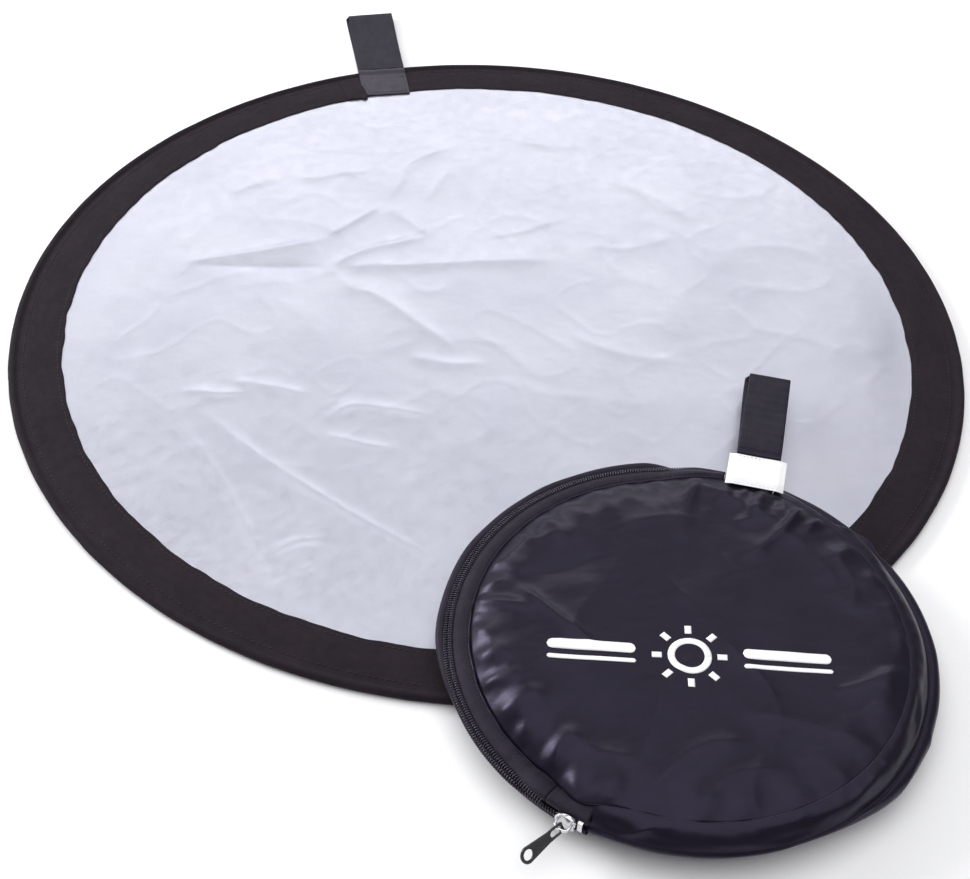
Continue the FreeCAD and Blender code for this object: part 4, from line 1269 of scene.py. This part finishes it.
# ---------------- carry loop and label
WEB_WIDTH = 25.0
WEB_CLOTH = 1.35
RIB_PITCH = 1.25
RIB_HEIGHT = 0.15
CARRY_REACH = 85.6
CARRY_HALF = 2.85  # half the height of the two layers together
LABEL_LENGTH, LABEL_WIDTH, LABEL_CLOTH = 23.0, 32.5, 0.35
LABEL_OUT = 1.6
CARRY_LEFT = (-sin(radians(CARRY_AZ)), cos(radians(CARRY_AZ)), 0.0)


def make_carry_loop():
    """The webbing loop: its sewn foot on the case's edge, and the two layers that run out past it."""
    hinge = np.array(JOINTS["carry_swing"]["pos_m"]) / MM
    ahead = np.array([cos(radians(CARRY_AZ)), sin(radians(CARRY_AZ)), 0.0])
    at_foot = (hinge - CARRY_FROM_FOOT * ahead) * np.array([1.0, 1.0, 0.0])
    foot_path = [(3.9, 0.7), (6.0, 0.95), (12.0, 0.95), (21.4, 0.6)]
    foot_path = [(run, FOOT_LOW + height) for run, height in foot_path]
    on_foot, ribs = placed(at_foot, CARRY_AZ), (RIB_PITCH, RIB_HEIGHT)
    foot = strap("carry_loop_foot_webbing", foot_path, WEB_WIDTH, 1.7, on_foot, *ribs, step=0.3)
    finish_piece(foot, WEBBING, "webbing", "carry_loop_foot")
    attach(foot, "case")

    reach, half = CARRY_REACH, CARRY_HALF
    path = [(-3.4, -0.1), (0.0, -0.9), (5.0, -half + 0.4), (22.0, -half), (50.0, -half + 0.3)]
    path += [(reach - 5.0, -half + 0.1), (reach - 1.6, -half + 1.1), (reach - 0.7, 0.0)]
    path += [(reach - 1.6, half - 1.1), (reach - 5.0, half - 0.1)]
    path += [(48.0, half - 0.5), (22.0, half - 0.1), (5.0, half - 0.3), (0.0, 0.9), (-3.4, 0.5)]

    def loop_place(points):
        points = np.array(points)
        upper = smooth(points[..., 2], -1.5, 1.5)
        away = smooth(points[..., 0], 0.0, reach)
        points[..., 1] += 2.0 * (1.0 - upper) * away - 0.3 * upper * away
        return placed(hinge, CARRY_AZ, CARRY_PITCH)(points)

    def loop_lie(run, across):
        return 0.25 * lattice_noise(run, across, 26.0, 81)

    loop = strap("carry_loop_webbing", path, WEB_WIDTH, WEB_CLOTH, loop_place, *ribs, loop_lie, 0.3)
    finish_piece(loop, WEBBING, "webbing", "carry_loop")
    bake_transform(loop)

    side = np.arange(-WEB_WIDTH / 2 + 3.0, WEB_WIDTH / 2 - 2.0, 2.2)
    sewn = np.stack([0 * side + 19.6, side, 0 * side + FOOT_LOW + 1.95], 1)
    seam = stitches("carry_foot_stitching", on_foot(sewn), CARRY_LEFT, UP, 1.7, 0.24)
    finish_piece(seam, THREAD, "thread")
    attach(seam, "case")


def make_label():
    """The blank white label, folded over the loop's foot and sewn down at both ends."""
    length, width, top = LABEL_LENGTH, LABEL_WIDTH, FOOT_LOW + 1.8 + LABEL_CLOTH
    centre = LABEL_AT + LABEL_OUT * heading(CARRY_AZ)
    place = placed((centre.x, centre.y, 0.0), CARRY_AZ)

    def label_height(run, across):
        droop = 0.7 * smooth(np.abs(across), WEB_WIDTH / 2 - 0.5, width / 2)
        curl = -1.4 * smooth(-run, length / 2 - 5.0, length / 2)
        curl = curl - 0.3 * smooth(run, length / 2 - 3.0, length / 2)
        return top - droop + curl + 0.18 * lattice_noise(run, across, 11.0, 91)

    lengthwise, crosswise = np.linspace(-length / 2, length / 2, 42), np.linspace(-width / 2, width / 2, 62)
    run, across = np.meshgrid(lengthwise, crosswise, indexing="ij")
    points = np.stack([run, across, label_height(run, across)], 2)
    cloth = grid_piece("case_label_cloth", place(points), points[..., :2])
    solidify(cloth, LABEL_CLOTH)
    finish_piece(cloth, LABEL, "label_cloth", "case_label")
    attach(cloth, "case")

    centres = []
    for edge in (-1.0, 1.0):
        side = np.arange(-width / 2 + 1.8, width / 2 - 1.0, 2.3)
        row = 0 * side + edge * (length / 2 - 1.5)
        centres.append(np.stack([row, side, label_height(row, side) + 0.05], 1))
    seam = stitches("case_label_stitching", place(np.vstack(centres)), CARRY_LEFT, UP, 1.7, 0.2)
    finish_piece(seam, WHITE_THREAD, "label_cloth")
    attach(seam, "case")


# ---------------- the print on the case
MARK_AT = (14.0, -303.0)
MARK_AZ = -18.5
BAR_START, BAR_END = 27.0, 72.0
BARS = ((6, 3.2, 6.2), (4, -4.6, 2.6))  # points across, middle, thickness
MARK_LIFT, MARK_THICK = 0.16, 0.12


def make_mark():
    """A plain white sun between two pairs of bars, printed on the cloth: a generic sign for light."""
    c, s = cos(radians(MARK_AZ)), sin(radians(MARK_AZ))

    def laid(name, rows, columns, shape):
        u, v = np.meshgrid(np.linspace(0.0, 1.0, rows), np.linspace(0.0, 1.0, columns), indexing="ij")
        a, b = shape(u, v)
        x, y = MARK_AT[0] + a * c - b * s, MARK_AT[1] + a * s + b * c
        points = np.stack([x, y, front_lie(x, y) + MARK_LIFT], 2)
        return grid_piece(name, points, np.stack([a, b], 2))

    def ring(u, v):
        radius = 7.5 + 3.6 * v
        return radius * np.cos(2 * pi * u), radius * np.sin(2 * pi * u)

    def ray(turn):
        def shape(u, v):
            out, side = 14.0 + 5.0 * u, (v - 0.5) * 3.4
            return out * cos(turn) - side * sin(turn), out * sin(turn) + side * cos(turn)

        return shape

    def bar(start, end, middle, thick):
        def shape(u, v):
            to_end = np.minimum(u, 1.0 - u) * abs(end - start) * 2.0 / thick
            round_end = np.sqrt(np.clip(1.0 - (1.0 - np.minimum(to_end, 1.0)) ** 2, 0.0004, 1.0))
            return start + (end - start) * u, middle + (v - 0.5) * thick * round_end

        return shape

    parts = [laid("mark_ring", 90, 5, ring)]
    parts += [laid(f"mark_ray_{k}", 8, 5, ray(k * pi / 4)) for k in range(8)]
    for side in (-1.0, 1.0):
        for columns, middle, thick in BARS:
            shape = bar(side * BAR_START, side * BAR_END, middle, thick)
            parts.append(laid("mark_bar", 60, columns, shape))
    mark = join_pieces("case_mark", parts)
    solidify(mark, MARK_THICK)
    finish_piece(mark, PRINT, "label_cloth")
    open_mouth(mark)


# ---------------- studio
FLOOR_HALF, FLOOR_Z = 6000.0, -0.4
ROOM_COLOUR, ROOM_STRENGTH = (0.96, 0.965, 1.0, 1.0), 0.3
# Soft boxes: name, place, target, width, height, power in watts.
SOFTBOXES = [
    ("back_softbox", (0.4, 2.05, 1.2), (0.0, 0.1, 0.0), 2.7, 0.9, 17.0),
    ("left_softbox", (-1.5, 1.2, 0.9), (-0.05, -0.15, 0.0), 1.1, 0.6, 34.0),
    ("top_softbox", (0.0, -0.3, 3.2), (0.0, -0.1, 0.0), 4.5, 4.5, 98.0),
]


def make_floor():
    """A plain, pale floor."""
    ends = (-FLOOR_HALF, FLOOR_HALF)
    corners = [(ends[i], ends[j], FLOOR_Z) for i, j in ((0, 0), (1, 0), (1, 1), (0, 1))]
    floor = make_piece("floor", corners, [[0, 1, 2, 3]], [corner[:2] for corner in corners], False)
    look = Surface("floor_look", (0.93, 0.93, 0.935), 0.85, Specular_IOR_Level=0.2)
    look.colour(look.noise(900.0, 2.0), (0.925, 0.925, 0.93), (0.945, 0.945, 0.95))
    floor.data.materials.append(look.material)


def area_light(name, at, target, width, height, power):
    """A soft box that points at a target and isn't seen by the camera."""
    lamp = bpy.data.lights.new(name, "AREA")
    lamp.shape = "RECTANGLE"
    lamp.size, lamp.size_y, lamp.energy = width, height, power
    light = add_object(name, lamp)
    light.location = at
    light.rotation_mode = "QUATERNION"
    light.rotation_quaternion = (Vector(target) - Vector(at)).to_track_quat("-Z", "Y")
    light.visible_camera = False


def make_lights():
    """An even white room, a wide low soft box behind, one at the left, and a high one."""
    world = bpy.data.worlds.new("studio")
    world.use_nodes = True
    world.node_tree.nodes["Background"].inputs["Color"].default_value = ROOM_COLOUR
    world.node_tree.nodes["Background"].inputs["Strength"].default_value = ROOM_STRENGTH
    bpy.context.scene.world = world
    for softbox in SOFTBOXES:
        area_light(*softbox)
    bpy.context.scene.view_settings.view_transform = "Standard"


CAMERA_AT = Vector((-0.2433, -0.7340, 0.6651))
CAMERA_TARGET = Vector((-0.0328, -0.1014, 0.0))
CAMERA_LENS = 58.8
CAMERA_ROLL = 2.84


def make_camera():
    """The camera, rolled a little about its line of sight."""
    camera = bpy.data.cameras.new("camera")
    camera.lens = CAMERA_LENS
    camera.sensor_width = 36.0
    holder = add_object("camera", camera)
    ahead = (CAMERA_TARGET - CAMERA_AT).normalized()
    right = ahead.cross(Vector(UP)).normalized()
    up = right.cross(ahead)
    c, s = cos(radians(CAMERA_ROLL)), sin(radians(CAMERA_ROLL))
    axes = Matrix((c * right + s * up, c * up - s * right, -ahead)).transposed().to_4x4()
    axes.translation = CAMERA_AT
    holder.matrix_world = axes
    bpy.context.scene.camera = holder


STUDIO = (make_camera, make_floor, make_lights)
DISC = (make_faces, make_rim, make_join, make_hanging_loop)
CASE = (make_front, make_back, make_gusset, make_piping, make_tapes, make_chain, make_slider, make_pull_tab)
ON_CASE = (make_carry_loop, make_label, make_mark)
for make in STUDIO + DISC + CASE + ON_CASE:
    make()
